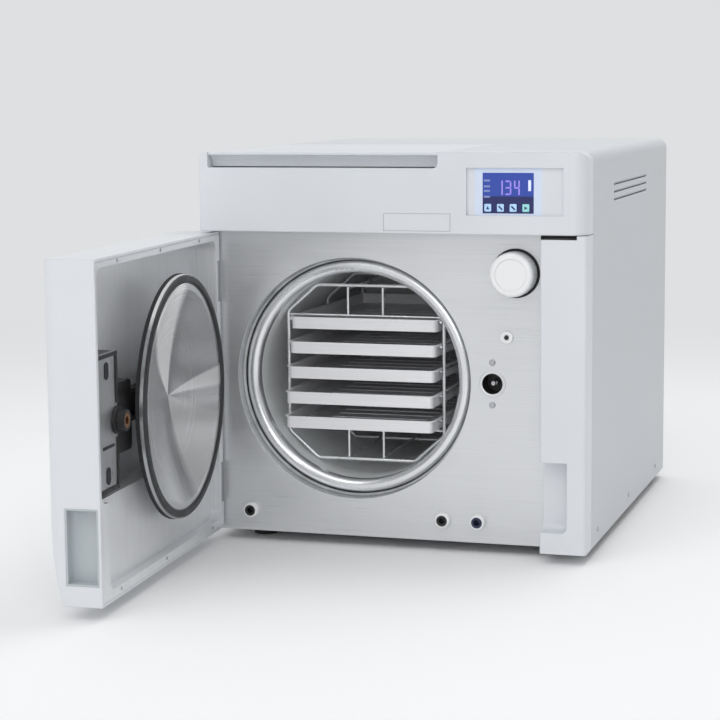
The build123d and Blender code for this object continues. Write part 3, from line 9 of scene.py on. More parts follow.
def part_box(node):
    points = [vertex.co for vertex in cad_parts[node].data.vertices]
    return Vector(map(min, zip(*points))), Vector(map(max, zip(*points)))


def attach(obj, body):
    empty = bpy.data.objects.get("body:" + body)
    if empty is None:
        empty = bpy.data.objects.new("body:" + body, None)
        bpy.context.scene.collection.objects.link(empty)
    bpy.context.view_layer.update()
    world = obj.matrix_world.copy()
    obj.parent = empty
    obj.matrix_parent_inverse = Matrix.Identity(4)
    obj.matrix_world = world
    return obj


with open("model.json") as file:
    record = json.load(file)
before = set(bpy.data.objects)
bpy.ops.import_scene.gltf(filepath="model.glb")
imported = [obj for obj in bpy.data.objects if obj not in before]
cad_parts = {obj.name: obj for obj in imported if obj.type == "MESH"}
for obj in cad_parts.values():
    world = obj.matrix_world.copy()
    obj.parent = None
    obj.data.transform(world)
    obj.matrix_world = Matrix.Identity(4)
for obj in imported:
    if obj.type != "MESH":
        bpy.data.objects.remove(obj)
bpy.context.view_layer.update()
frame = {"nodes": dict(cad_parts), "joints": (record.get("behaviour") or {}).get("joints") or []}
nodes = frame["nodes"]

# Camera: its place and reach in metres, its angles in degrees, its lens and sensor in millimetres
CAMERA_PLACE = Vector((0.6574, -2.4985, 0.5375))
CAMERA_YAW = 17.29
CAMERA_PITCH = 7.64
CAMERA_ROLL = -0.5
CAMERA_LENS = 102.7
CAMERA_SENSOR = 36.0
CAMERA_REACH = 90.0

# Colours, as linear light
WHITE_COVER = (0.70, 0.72, 0.75)
# The casing's paint, darker than the cover's white so that its sides look shaded: painted shade over its own
# white
SHADED_WHITE_SHEET = (0.60, 0.618, 0.645)
WHITE_LID = (0.66, 0.68, 0.71)
WHITE_FILTER = (0.86, 0.865, 0.87)
GRIP_SHADE = (0.50, 0.54, 0.56)
STEEL = (0.70, 0.71, 0.725)
BRIGHT_STEEL = (0.82, 0.83, 0.845)
# Pale grey of the painted highlight on the lid's steel
PAINTED_HIGHLIGHT = (0.97, 0.975, 0.98)
VESSEL = (0.84, 0.86, 0.86)
TRAY = (0.84, 0.84, 0.855)
ZINC = (0.50, 0.51, 0.53)
COPPER = (0.45, 0.28, 0.18)
BRASS = (0.34, 0.17, 0.085)
RUBBER = (0.018, 0.018, 0.020)
SEAL = (0.026, 0.028, 0.030)
PALE_SEAL = (0.40, 0.41, 0.42)
BLACK = (0.012, 0.012, 0.013)
BLUE_BLACK = (0.015, 0.022, 0.060)
BOARD_GREEN = (0.02, 0.12, 0.05)
FELT_GREY = (0.50, 0.48, 0.44)
TANK_MILK = (0.70, 0.73, 0.74)
HALO = (0.66, 0.74, 0.90)
LCD_BLUE = (0.018, 0.048, 0.30)
LCD_NAVY = (0.006, 0.010, 0.085)
LCD_FIGURE = (0.27, 0.21, 0.66)
LCD_GREY = (0.16, 0.20, 0.40)
LCD_WHITE = (0.60, 0.66, 0.86)
ICON_BLUE = (0.40, 0.60, 0.86)
ICON_TEAL = (0.28, 0.62, 0.64)
FLOOR = (0.92, 0.92, 0.92)
FLOOR_DARK = (0.915, 0.915, 0.92)
FLOOR_LIGHT = (0.93, 0.93, 0.93)
BACKDROP = (0.74, 0.745, 0.755)
ROOM_MIDDLE = (0.80, 0.805, 0.81)
ROOM_TOP = (0.72, 0.73, 0.74)

# Grains, as the scale of their noise
MOTTLE = 7.0
BRUSHED_ACROSS = 900.0
BRUSHED_ALONG = 9.0
TURNED_RINGS = 1100.0
LCD_CELLS = 1600.0

# Depth of the finest scratches, in metres
SCRATCH = 0.00001

# How much less metallic a fan of painted highlight is, so that it takes the room's light as white
PAINTED_HIGHLIGHT_WHITENS = 0.45


# Shader building

class Shader:
    """A material being built: its node tree and its principled shader."""

    def __init__(self, name):
        self.material = bpy.data.materials.new(name)
        self.material.use_nodes = True
        self.tree = self.material.node_tree
        self.surface = self.tree.nodes["Principled BSDF"]
        self.place = self.tree.nodes.new("ShaderNodeTexCoord").outputs["Object"]

    def node(self, kind, **settings):
        made = self.tree.nodes.new(kind)
        for key, value in settings.items():
            setattr(made, key, value)
        return made

    def feed(self, source, target):
        if isinstance(source, bpy.types.NodeSocket):
            self.tree.links.new(source, target)
        else:
            target.default_value = source

    def base(self, color, metallic=0.0, roughness=0.4, specular=0.5, coat=0.0):
        self.surface.inputs["Base Color"].default_value = (*color, 1)
        self.surface.inputs["Metallic"].default_value = metallic
        self.surface.inputs["Roughness"].default_value = roughness
        self.surface.inputs["Specular IOR Level"].default_value = specular
        self.surface.inputs["Coat Weight"].default_value = coat

    def math(self, operation, a, b=0.0, clamp=False):
        made = self.node("ShaderNodeMath", operation=operation, use_clamp=clamp)
        self.feed(a, made.inputs[0])
        self.feed(b, made.inputs[1])
        return made.outputs[0]

    def axis(self, letter):
        split = self.node("ShaderNodeSeparateXYZ")
        self.feed(self.place, split.inputs[0])
        return split.outputs[letter]

    def stretched(self, scale):
        made = self.node("ShaderNodeMapping")
        made.inputs["Scale"].default_value = scale
        self.feed(self.place, made.inputs["Vector"])
        return made.outputs[0]

    def vector_math(self, operation, a, b=(0.0, 0.0, 0.0), output="Vector"):
        made = self.node("ShaderNodeVectorMath", operation=operation)
        self.feed(a, made.inputs[0])
        self.feed(b, made.inputs[1])
        return made.outputs[output]

    def noise(self, scale, vector=None, detail=3.0):
        made = self.node("ShaderNodeTexNoise")
        made.inputs["Scale"].default_value = scale
        made.inputs["Detail"].default_value = detail
        self.feed(vector or self.place, made.inputs["Vector"])
        return made.outputs["Fac"]

    def noise_over(self, distance, scale, detail=3.0):
        """Noise that changes only with a distance."""
        made = self.node("ShaderNodeTexNoise", noise_dimensions="1D")
        made.inputs["Scale"].default_value = scale
        made.inputs["Detail"].default_value = detail
        self.feed(distance, made.inputs["W"])
        return made.outputs["Fac"]

    def both(self, first, second, share):
        """Two values in one, with this share of the first."""
        rest = self.math("MULTIPLY", second, 1.0 - share)
        return self.math("ADD", self.math("MULTIPLY", first, share), rest)

    def between(self, value, start, stop, low=0.0, high=1.0, interpolation="LINEAR"):
        """Map start to stop onto low to high."""
        made = self.node("ShaderNodeMapRange", interpolation_type=interpolation)
        self.feed(value, made.inputs["Value"])
        made.inputs["From Min"].default_value = start
        made.inputs["From Max"].default_value = stop
        made.inputs["To Min"].default_value = low
        made.inputs["To Max"].default_value = high
        return made.outputs["Result"]

    def spread(self, value, low, high):
        """Map the middle range, where noise mostly lies, onto low to high."""
        return self.between(value, 0.3, 0.7, low, high)

    def feed_color(self, source, target):
        self.feed(source if isinstance(source, bpy.types.NodeSocket) else (*source, 1), target)

    def mix(self, value, dark, light, **settings):
        made = self.node("ShaderNodeMix", data_type="RGBA", **settings)
        self.feed(value, made.inputs["Factor"])
        self.feed_color(dark, made.inputs["A"])
        self.feed_color(light, made.inputs["B"])
        return made.outputs["Result"]

    def tint(self, value, dark, light):
        self.feed(self.mix(value, dark, light), self.surface.inputs["Base Color"])

    def varied(self, noise, color, low, high):
        """A colour that a noise darkens and lightens between two factors."""
        return self.mix(self.spread(noise, 0.0, 1.0), scaled(color, low), scaled(color, high))

    def paint(self, noise, color, low, high):
        self.feed(self.varied(noise, color, low, high), self.surface.inputs["Base Color"])

    def rough(self, value, low, high):
        self.feed(self.spread(value, low, high), self.surface.inputs["Roughness"])

    def bump(self, height, distance, strength=1.0, edge=0.0):
        made = self.node("ShaderNodeBump")
        made.inputs["Strength"].default_value = strength
        made.inputs["Distance"].default_value = distance
        self.feed(height, made.inputs["Height"])
        if edge:
            round_edge = self.node("ShaderNodeBevel", samples=4)
            round_edge.inputs["Radius"].default_value = edge
            self.feed(round_edge.outputs["Normal"], made.inputs["Normal"])
        self.feed(made.outputs["Normal"], self.surface.inputs["Normal"])


def scaled(color, factor):
    return tuple(min(c * factor, 1.0) for c in color)


def moulded(name, color, roughness, grain=700.0, relief=0.00002, edge=0.0012, coat=0.0):
    """Moulded plastic or powder coat: a fine orange peel, faint mottling, softened edges."""
    s = Shader(name)
    s.base(color, roughness=roughness, coat=coat)
    broad = s.noise(MOTTLE, detail=4.0)
    s.paint(broad, color, 0.975, 1.02)
    s.rough(broad, roughness - 0.05, roughness + 0.06)
    s.bump(s.noise(grain), relief, edge=edge)
    return s.material


def brushed(name, color, along, roughness=0.3, metallic=1.0, contrast=0.10, edge=0.0005):
    """Sheet metal with a straight brushed grain along one axis."""
    s = Shader(name)
    s.base(color, metallic=metallic, roughness=roughness)
    scale = [BRUSHED_ALONG if letter == along else BRUSHED_ACROSS for letter in "XYZ"]
    grain = s.noise(1.0, s.stretched(scale), detail=5.0)
    cloud = s.noise(6.0, detail=4.0)
    shade = s.both(grain, cloud, 0.65)
    s.paint(shade, color, 1.0 - contrast, 1.0 + contrast)
    s.rough(shade, roughness - 0.07, roughness + 0.09)
    s.bump(grain, SCRATCH, 0.6, edge=edge)
    return s.material


def circle_frame(s, centre, axis):
    """The direction straight out from an axis at each point, and the distance to the axis."""
    away = s.vector_math("SUBTRACT", s.place, centre)
    around = s.vector_math("CROSS_PRODUCT", axis, away)
    outward = s.vector_math("NORMALIZE", s.vector_math("CROSS_PRODUCT", around, axis))
    return outward, s.vector_math("LENGTH", around, output="Value")


def painted_fan_highlight(s, outward, highlight_fans):
    """How far the painted highlight lightens the metal, from 0 to 1, in fans that widen from the centre."""
    highlight_amount = 0.0
    for direction, narrow, share in highlight_fans:
        along = s.vector_math("DOT_PRODUCT", outward, Vector(direction).normalized(), output="Value")
        lit = s.between(along, narrow, 0.5 + 0.5 * narrow, 0.0, share)
        highlight_amount = s.math("MAXIMUM", lit, highlight_amount)
    return highlight_amount


def spun(name, color, centre, axis, roughness, metallic=1.0, anisotropy=0.7, contrast=0.08, highlight_fans=()):
    """Metal turned or polished in circles about an axis, so its highlight fans out from the centre.

    Each of the highlight fans is a direction from the centre, how narrow it is, and how far its painted
    highlight lightens the metal.
    """
    s = Shader(name)
    s.base(color, metallic=metallic, roughness=roughness)
    s.surface.inputs["Anisotropic"].default_value = anisotropy
    outward, distance = circle_frame(s, centre, axis)
    s.feed(outward, s.surface.inputs["Tangent"])
    rings = s.noise_over(distance, TURNED_RINGS)
    wear = s.both(rings, s.noise(9.0, detail=4.0), 0.5)
    shade = s.varied(wear, color, 1.0 - contrast, 1.0 + contrast)
    # Painted highlight: in each fan the colour goes towards a pale grey and the metal grows less metallic
    if highlight_fans:
        highlight_amount = painted_fan_highlight(s, outward, highlight_fans)
        shade = s.mix(highlight_amount, shade, PAINTED_HIGHLIGHT)
        whiter = s.between(highlight_amount, 0.0, 1.0, metallic, metallic - PAINTED_HIGHLIGHT_WHITENS)
        s.feed(whiter, s.surface.inputs["Metallic"])
    s.feed(shade, s.surface.inputs["Base Color"])
    s.rough(wear, roughness - 0.05, roughness + 0.08)
    s.bump(rings, SCRATCH, 0.5)
    return s.material


def satin_metal(name, color, roughness=0.35, metallic=1.0, edge=0.0004):
    """Plain metal part: fine grain, slight staining, softened edges."""
    s = Shader(name)
    s.base(color, metallic=metallic, roughness=roughness)
    stain = s.noise(28.0, detail=5.0)
    s.paint(stain, color, 0.88, 1.08)
    s.rough(stain, roughness - 0.07, roughness + 0.10)
    s.bump(s.noise(500.0), 0.00003, edge=edge)
    return s.material


def rubbery(name, color, roughness=0.6):
    """Rubber or silicone with a little dust on it."""
    s = Shader(name)
    s.base(color, roughness=roughness, specular=0.35)
    dust = s.noise(40.0, detail=4.0)
    s.paint(dust, color, 0.85, 1.35)
    s.rough(dust, roughness - 0.08, roughness + 0.1)
    s.bump(s.noise(900.0), 0.00006, edge=0.0005)
    return s.material


def cast(name, color):
    """Sand-cast part under black paint."""
    s = Shader(name)
    s.base(color, roughness=0.5, specular=0.4)
    wear = s.noise(60.0, detail=5.0)
    s.paint(wear, color, 0.7, 2.2)
    s.rough(wear, 0.38, 0.6)
    s.bump(s.noise(420.0, detail=6.0), 0.0004, 0.8, edge=0.001)
    return s.material


def felt(name, color):
    """Insulation felt with a loose fibre surface."""
    s = Shader(name)
    s.base(color, roughness=0.95, specular=0.2)
    fibre = s.noise(1.0, s.stretched((300.0, 900.0, 300.0)), detail=8.0)
    s.paint(fibre, color, 0.7, 1.2)
    s.bump(fibre, 0.0015)
    return s.material


def backlit_cells(s, color, glow):
    """Give a shader the fine cells of a liquid crystal with light behind it."""
    cells = s.node("ShaderNodeTexChecker")
    cells.inputs["Scale"].default_value = LCD_CELLS
    s.feed_color((1.0, 1.0, 1.0), cells.inputs["Color1"])
    s.feed_color((0.82, 0.82, 0.82), cells.inputs["Color2"])
    s.feed(s.place, cells.inputs["Vector"])
    grid = s.mix(1.0, color, cells.outputs["Color"], blend_type="MULTIPLY")
    s.feed(grid, s.surface.inputs["Base Color"])
    s.feed(grid, s.surface.inputs["Emission Color"])
    s.surface.inputs["Emission Strength"].default_value = glow


def screen(name, low, high, band_top=0.40, fade=0.04):
    """Display glass: a blue field over a navy band for the keys, which takes a share of the height."""
    s = Shader(name)
    s.base(LCD_BLUE, roughness=0.2, coat=0.3)
    height = s.between(s.axis("Z"), low.z, high.z)
    above = s.between(height, band_top, band_top + fade)
    backlit_cells(s, s.mix(above, LCD_NAVY, LCD_BLUE), 0.45)
    return s.material


def lit_mark(name, color, glow=0.5):
    """Figure, bar or key that lights up on the display."""
    s = Shader(name)
    s.base(color, roughness=0.3)
    cloud = s.noise(160.0)
    backlit_cells(s, s.varied(cloud, color, 0.9, 1.1), glow)
    return s.material


def lit_frame(name, middle_x, half_width, fade=0.0025):
    """Display surround: cover plastic with the display's bluish glow painted on it next to the glass."""
    s = Shader(name)
    s.base(WHITE_COVER, roughness=0.3)
    away = s.math("ABSOLUTE", s.math("SUBTRACT", s.axis("X"), middle_x))
    past = s.between(away, half_width, half_width + fade)
    s.tint(past, HALO, WHITE_COVER)
    s.bump(s.noise(700.0), 0.00002, edge=0.0003)
    return s.material


def translucent(name, color):
    """Milky tank plastic."""
    s = Shader(name)
    s.base(color, roughness=0.45)
    s.surface.inputs["Subsurface Weight"].default_value = 0.3
    s.surface.inputs["Subsurface Radius"].default_value = (0.01, 0.01, 0.01)
    cloud = s.noise(14.0, detail=4.0)
    s.paint(cloud, color, 0.94, 1.03)
    s.bump(s.noise(600.0), 0.00003, edge=0.001)
    return s.material


# Where things are, read from the frame. Pieces are drawn in millimetres

MM = 0.001


def joint(name):
    return next(j for j in frame["joints"] if j["name"] == name)


def centre_of(node):
    low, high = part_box(node)
    return (low + high) / 2


hinge = joint("door_hinge")
hinge_place = Vector(hinge["pos_m"])
door_swing = hinge["range_deg"][0]               # from shut to the way it stands
door_out = -Vector(joint("lid_press")["axis"])   # from the open door towards the room it faces
OPEN = (Matrix.Translation(hinge_place) @ Matrix.Rotation(math.radians(door_swing), 4, "Z")
        @ Matrix.Translation(-hinge_place))
SHUT = OPEN.inverted()
glass_low, glass_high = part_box("display_glass")


def box_mm(node):
    low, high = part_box(node)
    return low / MM, high / MM


def shut_box_mm(node):
    """Box round one of the door's nodes, as it lies when the door is shut."""
    spots = [SHUT @ v.co for v in nodes[node].data.vertices]
    low = Vector([min(spot[i] for spot in spots) for i in range(3)])
    high = Vector([max(spot[i] for spot in spots) for i in range(3)])
    return low / MM, high / MM


def round_node(node):
    """Middle x and z, half width and front of a node that is round, or nearly, as seen from the front."""
    low, high = box_mm(node)
    return (low.x + high.x) / 2, (low.z + high.z) / 2, (high.x - low.x) / 2, low.y


# Materials

DEPTH_AXIS = (0, 1, 0)
GLOW_PAST_GLASS = 0.008
LID_HIGHLIGHT_FANS = (                 # direction from the centre, narrowness, share of the painted highlight
    ((0.0, -0.36, 0.93), 0.86, 1.0),
    ((0.0, 0.72, -0.70), 0.80, 0.5),
    ((0.0, 1.0, 0.06), 0.992, 0.7),
)

cover = moulded("cover_white", WHITE_COVER, 0.34, coat=0.15)
# Casing paint with painted shade: darker than the cover
shaded_sheet_paint = moulded("sheet_white", SHADED_WHITE_SHEET, 0.42, grain=1100.0, relief=0.00003)
lid_paint = moulded("lid_white", WHITE_LID, 0.36)
grip_paint = moulded("grip_shade", GRIP_SHADE, 0.45)
filter_paint = moulded("filter_white", WHITE_FILTER, 0.38)
black_moulded = moulded("black_plastic", BLACK, 0.4, relief=0.00005, edge=0.0005)
blue_moulded = moulded("blue_black_plastic", BLUE_BLACK, 0.35, relief=0.00005, edge=0.0005)
plate_steel = brushed("steel_plate", STEEL, "X", 0.32, metallic=0.75, contrast=0.05)
liner_steel = brushed("steel_liner", scaled(STEEL, 1.12), "Z", 0.36, metallic=0.4)
bracket_steel = satin_metal("steel_bracket", scaled(STEEL, 0.72), 0.34)
ring_steel = spun("steel_ring", BRIGHT_STEEL, centre_of("chamber_ring"), DEPTH_AXIS, 0.2, metallic=0.85)
vessel_steel = spun("steel_vessel", VESSEL, centre_of("chamber_ring"), DEPTH_AXIS, 0.42, metallic=0.25,
                    anisotropy=0.0)
# The lid's steel has fans of painted highlight on it
lid_steel = spun("lid_steel", scaled(STEEL, 0.76), centre_of("lid_gasket"), door_out, 0.22, metallic=0.75,
                 anisotropy=0.8, highlight_fans=LID_HIGHLIGHT_FANS)
wire_steel = satin_metal("steel_wire", BRIGHT_STEEL, 0.25, metallic=0.8)
tray_metal = brushed("tray_metal", TRAY, "X", 0.42, metallic=0.2, contrast=0.05)
zinc = satin_metal("zinc", ZINC, 0.4)
bare_metal = brushed("bare_plate", STEEL, "X", 0.4)
brass = satin_metal("brass", BRASS, 0.3)
copper = satin_metal("band_metal", COPPER, 0.45)
rubber = rubbery("black_rubber", RUBBER)
seal = rubbery("seal_rubber", SEAL, 0.42)
pale_seal = rubbery("pale_seal", PALE_SEAL, 0.5)
black_cast = cast("black_cast", BLACK)
board = moulded("board_green", BOARD_GREEN, 0.4, edge=0.0002)
jacket_felt = felt("jacket_felt", FELT_GREY)
tank_plastic = translucent("tank_plastic", TANK_MILK)
glow_frame = lit_frame("display_glow", centre_of("display_glass").x,
                       (glass_high.x - glass_low.x) / 2 + GLOW_PAST_GLASS)
glass = screen("display_field", glass_low, glass_high)
key_dark = lit_mark("key_navy", LCD_NAVY, 0.3)
figure_light = lit_mark("lcd_figure", LCD_FIGURE)
bar_light = lit_mark("lcd_bar", LCD_GREY)
white_light = lit_mark("lcd_white", LCD_WHITE)
icon_blue = lit_mark("icon_blue", ICON_BLUE, 0.3)
icon_teal = lit_mark("icon_teal", ICON_TEAL, 0.3)

FINISH = {
    cover: ["header", "pillar", "door_shell"],
    grip_paint: ["door_grip_cup"],
    shaded_sheet_paint: ["casing", "rear_panel"],
    lid_paint: ["tank_lid"],
    filter_paint: ["air_filter", "quick_ports", "switch_body"],
    plate_steel: ["front_plate"],
    liner_steel: ["door_liner"],
    bracket_steel: ["nut_bracket"],
    ring_steel: ["chamber_ring"],
    vessel_steel: ["chamber_vessel", "steam_generator"],
    lid_steel: ["lid_plate"],
    wire_steel: ["rack_hoops", "rack_wires"],
    tray_metal: [f"tray_{i}" for i in range(1, 6)] + ["condenser"],
    zinc: ["base_pan", "plate_screws", "chamber_cradles", "hinge_brackets", "hinge_pins", "hinge_leaves",
           "lid_ball_stud", "lock_spindle", "lock_motor", "vacuum_pump"],
    brass: ["lock_nut", "drain_spigot", "valve_manifold"],
    copper: ["heater_bands"],
    rubber: ["feet", "filter_socket"],
    seal: ["lid_gasket"],
    black_cast: ["lid_carrier"],
    black_moulded: ["lock_cup", "tank_strainers", "fan_frame", "fan_rotor", "mains_inlet", "mains_rocker",
                    "switch_plunger"],
    board: ["control_board", "power_board"],
    jacket_felt: ["chamber_jacket"],
    tank_plastic: ["tank_tub"],
    glow_frame: ["display_panel"],
    glass: ["display_glass"],
    key_dark: [f"key_{i}" for i in range(1, 5)],
}
for material, names in FINISH.items():
    for name in names:
        mesh = nodes[name].data
        mesh.materials.clear()
        mesh.materials.append(material)


# Mesh building, in millimetres

SHARP_ANGLE = 35.0


def piece(name, shape, material, body, swing=False):
    """Turn a shape drawn in millimetres into a piece. With swing, it was drawn for the shut door."""
    bmesh.ops.recalc_face_normals(shape, faces=shape.faces)
    mesh = bpy.data.meshes.new(name)
    shape.to_mesh(mesh)
    shape.free()
    mesh.transform(Matrix.Scale(MM, 4))
    if swing:
        mesh.transform(OPEN)
    for face in mesh.polygons:
        face.use_smooth = True
    mesh.set_sharp_from_angle(angle=math.radians(SHARP_ANGLE))
    mesh.materials.append(material)
    made = bpy.data.objects.new(name, mesh)
    bpy.context.scene.collection.objects.link(made)
    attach(made, body)


def add_block(shape, x0, x1, y0, y1, z0, z1, bevel=0.0):
    made = bmesh.ops.create_cube(shape, size=1.0)["verts"]
    bmesh.ops.scale(shape, vec=(x1 - x0, y1 - y0, z1 - z0), verts=made)
    bmesh.ops.translate(shape, vec=((x0 + x1) / 2, (y0 + y1) / 2, (z0 + z1) / 2), verts=made)
    if bevel:
        edges = list({e for v in made for e in v.link_edges})
        bmesh.ops.bevel(shape, geom=edges, offset=bevel, segments=2, affect="EDGES", profile=0.6)


def add_turned(shape, profile, x, z, sides=64):
    """Turn a closed profile of (radius, y) points about the line along Y through x, z."""
    rings = []
    for k in range(sides):
        angle = 2 * math.pi * k / sides
        across, up = math.cos(angle), math.sin(angle)
        rings.append([shape.verts.new((x + r * across, y, z + r * up)) for r, y in profile])
    count = len(profile)
    for k in range(sides):
        this, following = rings[k], rings[(k + 1) % sides]
        for i in range(count):
            j = (i + 1) % count
            shape.faces.new((this[i], this[j], following[j], following[i]))


def add_prism(shape, points, y0, y1):
    """Solid between y0 and y1 over an outline of (x, z) points."""
    near = [shape.verts.new((x, y0, z)) for x, z in points]
    far = [shape.verts.new((x, y1, z)) for x, z in points]
    shape.faces.new(near)
    shape.faces.new(list(reversed(far)))
    for i in range(len(points)):
        j = (i + 1) % len(points)
        shape.faces.new((near[i], far[i], far[j], near[j]))


def round_outline(x0, x1, z0, z1, radius, steps=5):
    """Outline of a rectangle with rounded corners, as (x, z) points."""
    points = []
    corners = ((x1, z1, 0), (x0, z1, 90), (x0, z0, 180), (x1, z0, 270))
    for x, z, start in corners:
        cx = x - radius if x == x1 else x + radius
        cz = z - radius if z == z1 else z + radius
        for i in range(steps + 1):
            angle = math.radians(start + 90 * i / steps)
            points.append((cx + radius * math.cos(angle), cz + radius * math.sin(angle)))
    return points


# Chamber mouth: a pale seal fills the slit between the plate and the ring

MOUTH_SIDES = 128


def make_mouth_seal():
    x, z, ring_radius, ring_front = round_node("chamber_ring")
    inner = ring_radius + 0.15
    crown = ring_radius + 1.6
    outer = ring_radius + 3.3
    front = ring_front - 1.0
    back = front + 3.5
    shape = bmesh.new()
    add_turned(shape, [(inner, front), (crown, front - 0.8), (outer, front), (outer, back), (inner, back)],
               x, z, MOUTH_SIDES)
    piece("mouth_seal", shape, pale_seal, "cabinet")


# Display: figures, bars and the keys' icons. Each sinks a little into what carries it

MARK_SINK = 0.05
MARK_RISE = 0.2
FIGURE_RISE = 0.25
SHOWN_FIGURES = "134"
FIGURE_STROKES = {"1": "bc", "3": "abgcd", "4": "fgbc"}
FIGURE_WIDTH = 6.6
FIGURE_HEIGHT = 16.0
FIGURE_STROKE = 1.7
FIGURE_PITCH = 9.6
FIGURES_IN = 16.5            # first figure from the glass's left edge
FIGURES_DOWN = 24.5          # foot of the figures from the glass's top
BAR_TOPS = (7.5, 14.0, 19.0, 25.5)    # down from the glass's top
BAR_HEIGHT = 2.2
BAR_ENDS = (1.5, 8.5)        # in from the glass's left edge
LEVEL_SIDES = (6.2, 3.0)     # in from the glass's right edge
LEVEL_ENDS = (20.0, 8.0)     # down from the glass's top
ICON_HALF = 3.9
ICON_HEIGHTS = (-4.2, 4.4)
ICON_FACE = 0.24             # in front of the key
ICON_BACK = 0.02             # clear of the key and the glass
STUB_HALF = 2.2
UP_ARROW = ((-1.8, -1.6), (1.8, -1.6), (0.0, 2.0))
SLASH = ((-2.6, 1.4), (-1.4, 2.6), (2.6, -1.4), (1.4, -2.6))
RIGHT_ARROW = ((-1.6, 1.9), (-1.6, -1.9), (2.0, 0.0))
KEY_MARKS = (UP_ARROW, SLASH, SLASH, RIGHT_ARROW)
KEY_LIGHTS = (icon_blue, icon_blue, icon_blue, icon_teal)


def figure_bars(x, z, strokes):
    """Rectangles of one seven-stroke figure whose lower left corner is at x, z."""
    right = x + FIGURE_WIDTH
    middle = z + FIGURE_HEIGHT / 2
    top = z + FIGURE_HEIGHT
    places = {
        "a": (x, right, top - FIGURE_STROKE, top),
        "g": (x, right, middle - FIGURE_STROKE / 2, middle + FIGURE_STROKE / 2),
        "d": (x, right, z, z + FIGURE_STROKE),
        "f": (x, x + FIGURE_STROKE, middle, top),
        "b": (right - FIGURE_STROKE, right, middle, top),
        "c": (right - FIGURE_STROKE, right, z, middle),
    }
    return [places[stroke] for stroke in strokes]


def make_figures(low, high):
    shape = bmesh.new()
    for i, figure in enumerate(SHOWN_FIGURES):
        x = low.x + FIGURES_IN + FIGURE_PITCH * i
        for x0, x1, z0, z1 in figure_bars(x, high.z - FIGURES_DOWN, FIGURE_STROKES[figure]):
            add_prism(shape, round_outline(x0, x1, z0, z1, 0.5, 2), low.y - FIGURE_RISE, low.y + MARK_SINK)
    piece("lcd_figures", shape, figure_light, "cabinet")


def make_bars(low, high):
    shape = bmesh.new()
    x0, x1 = (low.x + end for end in BAR_ENDS)
    for drop in BAR_TOPS:
        add_prism(shape, round_outline(x0, x1, high.z - drop - BAR_HEIGHT, high.z - drop, 0.4, 2),
                  low.y - MARK_RISE, low.y + MARK_SINK)
    piece("lcd_bars", shape, bar_light, "cabinet")


def make_level(low, high):
    shape = bmesh.new()
    x0, x1 = (high.x - side for side in LEVEL_SIDES)
    z0, z1 = (high.z - end for end in LEVEL_ENDS)
    add_prism(shape, round_outline(x0, x1, z0, z1, 0.5, 2), low.y - MARK_RISE, low.y + MARK_SINK)
    piece("lcd_level", shape, white_light, "cabinet")


def make_display_marks():
    low, high = box_mm("display_glass")
    make_figures(low, high)
    make_bars(low, high)
    make_level(low, high)


def make_key_icon(name, light, outline):
    """Lit icon on a key, on a stub that sinks into the key, with a dark mark on it."""
    x, z, _, front = round_node(name)
    number = name[-1]
    foot, head = (z + height for height in ICON_HEIGHTS)
    icon = bmesh.new()
    add_prism(icon, round_outline(x - ICON_HALF, x + ICON_HALF, foot, head, 1.2),
              front - ICON_FACE, front - ICON_BACK)
    add_prism(icon, round_outline(x - STUB_HALF, x + STUB_HALF, z - STUB_HALF, z + STUB_HALF, 1.0),
              front - 0.1, front + 0.3)
    piece(f"key_icon_{number}", icon, light, name)
    mark = bmesh.new()
    add_prism(mark, [(x + across, z + up) for across, up in outline], front - ICON_FACE - 0.1, front - 0.1)
    piece(f"key_mark_{number}", mark, key_dark, name)


def make_key_icons():
    for number, (light, outline) in enumerate(zip(KEY_LIGHTS, KEY_MARKS), start=1):
        make_key_icon(f"key_{number}", light, outline)


# Card slot at the head of the pillar: a black lining with a lens-shaped lip, painted shade for the dark
# inside of the slot

SLOT_IN = 0.5                # from the pillar's left side
SLOT_WIDTH = 40.0
SLOT_HEIGHT = 3.8
SLOT_DEEP = 16.8
SLOT_WALL = 0.5
LIP_STEPS = 16


def lip_outline(x0, x1, z0):
    """Outline of the lip: straight above, and swelling downwards like a lens."""
    left, right, top = x0 + 0.2, x1 - 0.2, z0 + 1.9
    lens = []
    for i in range(LIP_STEPS + 1):
        share = i / LIP_STEPS
        lens.append((left + (right - left) * share, z0 + 1.5 - 1.4 * math.sin(math.pi * share)))
    return lens + [(right, top), (left, top)]


def make_card_slot_shade():
    low, high = box_mm("pillar")
    x0 = low.x + SLOT_IN
    x1 = x0 + SLOT_WIDTH
    z1 = high.z - 0.15
    z0 = z1 - SLOT_HEIGHT
    lip = low.y + 0.2
    front = lip + 0.6
    back = lip + SLOT_DEEP
    shape = bmesh.new()
    add_block(shape, x0, x1, lip, back, z1 - SLOT_WALL, z1)
    add_block(shape, x0, x1, front, back, z0, z0 + SLOT_WALL)
    add_block(shape, x0, x0 + SLOT_WALL, front, back, z0, z1)
    add_block(shape, x1 - SLOT_WALL, x1, front, back, z0, z1)
    # Black back wall: painted shade deep in the slot
    add_block(shape, x0, x1, back - 0.5, back + 0.3, z0, z1)
    add_prism(shape, lip_outline(x0, x1, z0), lip, lip + 1.2)
    piece("card_slot_shade", shape, black_moulded, "cabinet")


# Quick couplings: a black mouth with a valve cone inside each white collar

PORT_END_IN = 12.0           # middle of the outer collars from the ends of the node
PORT_MIDDLE_IN = 53.5        # middle of the third collar from the node's right end


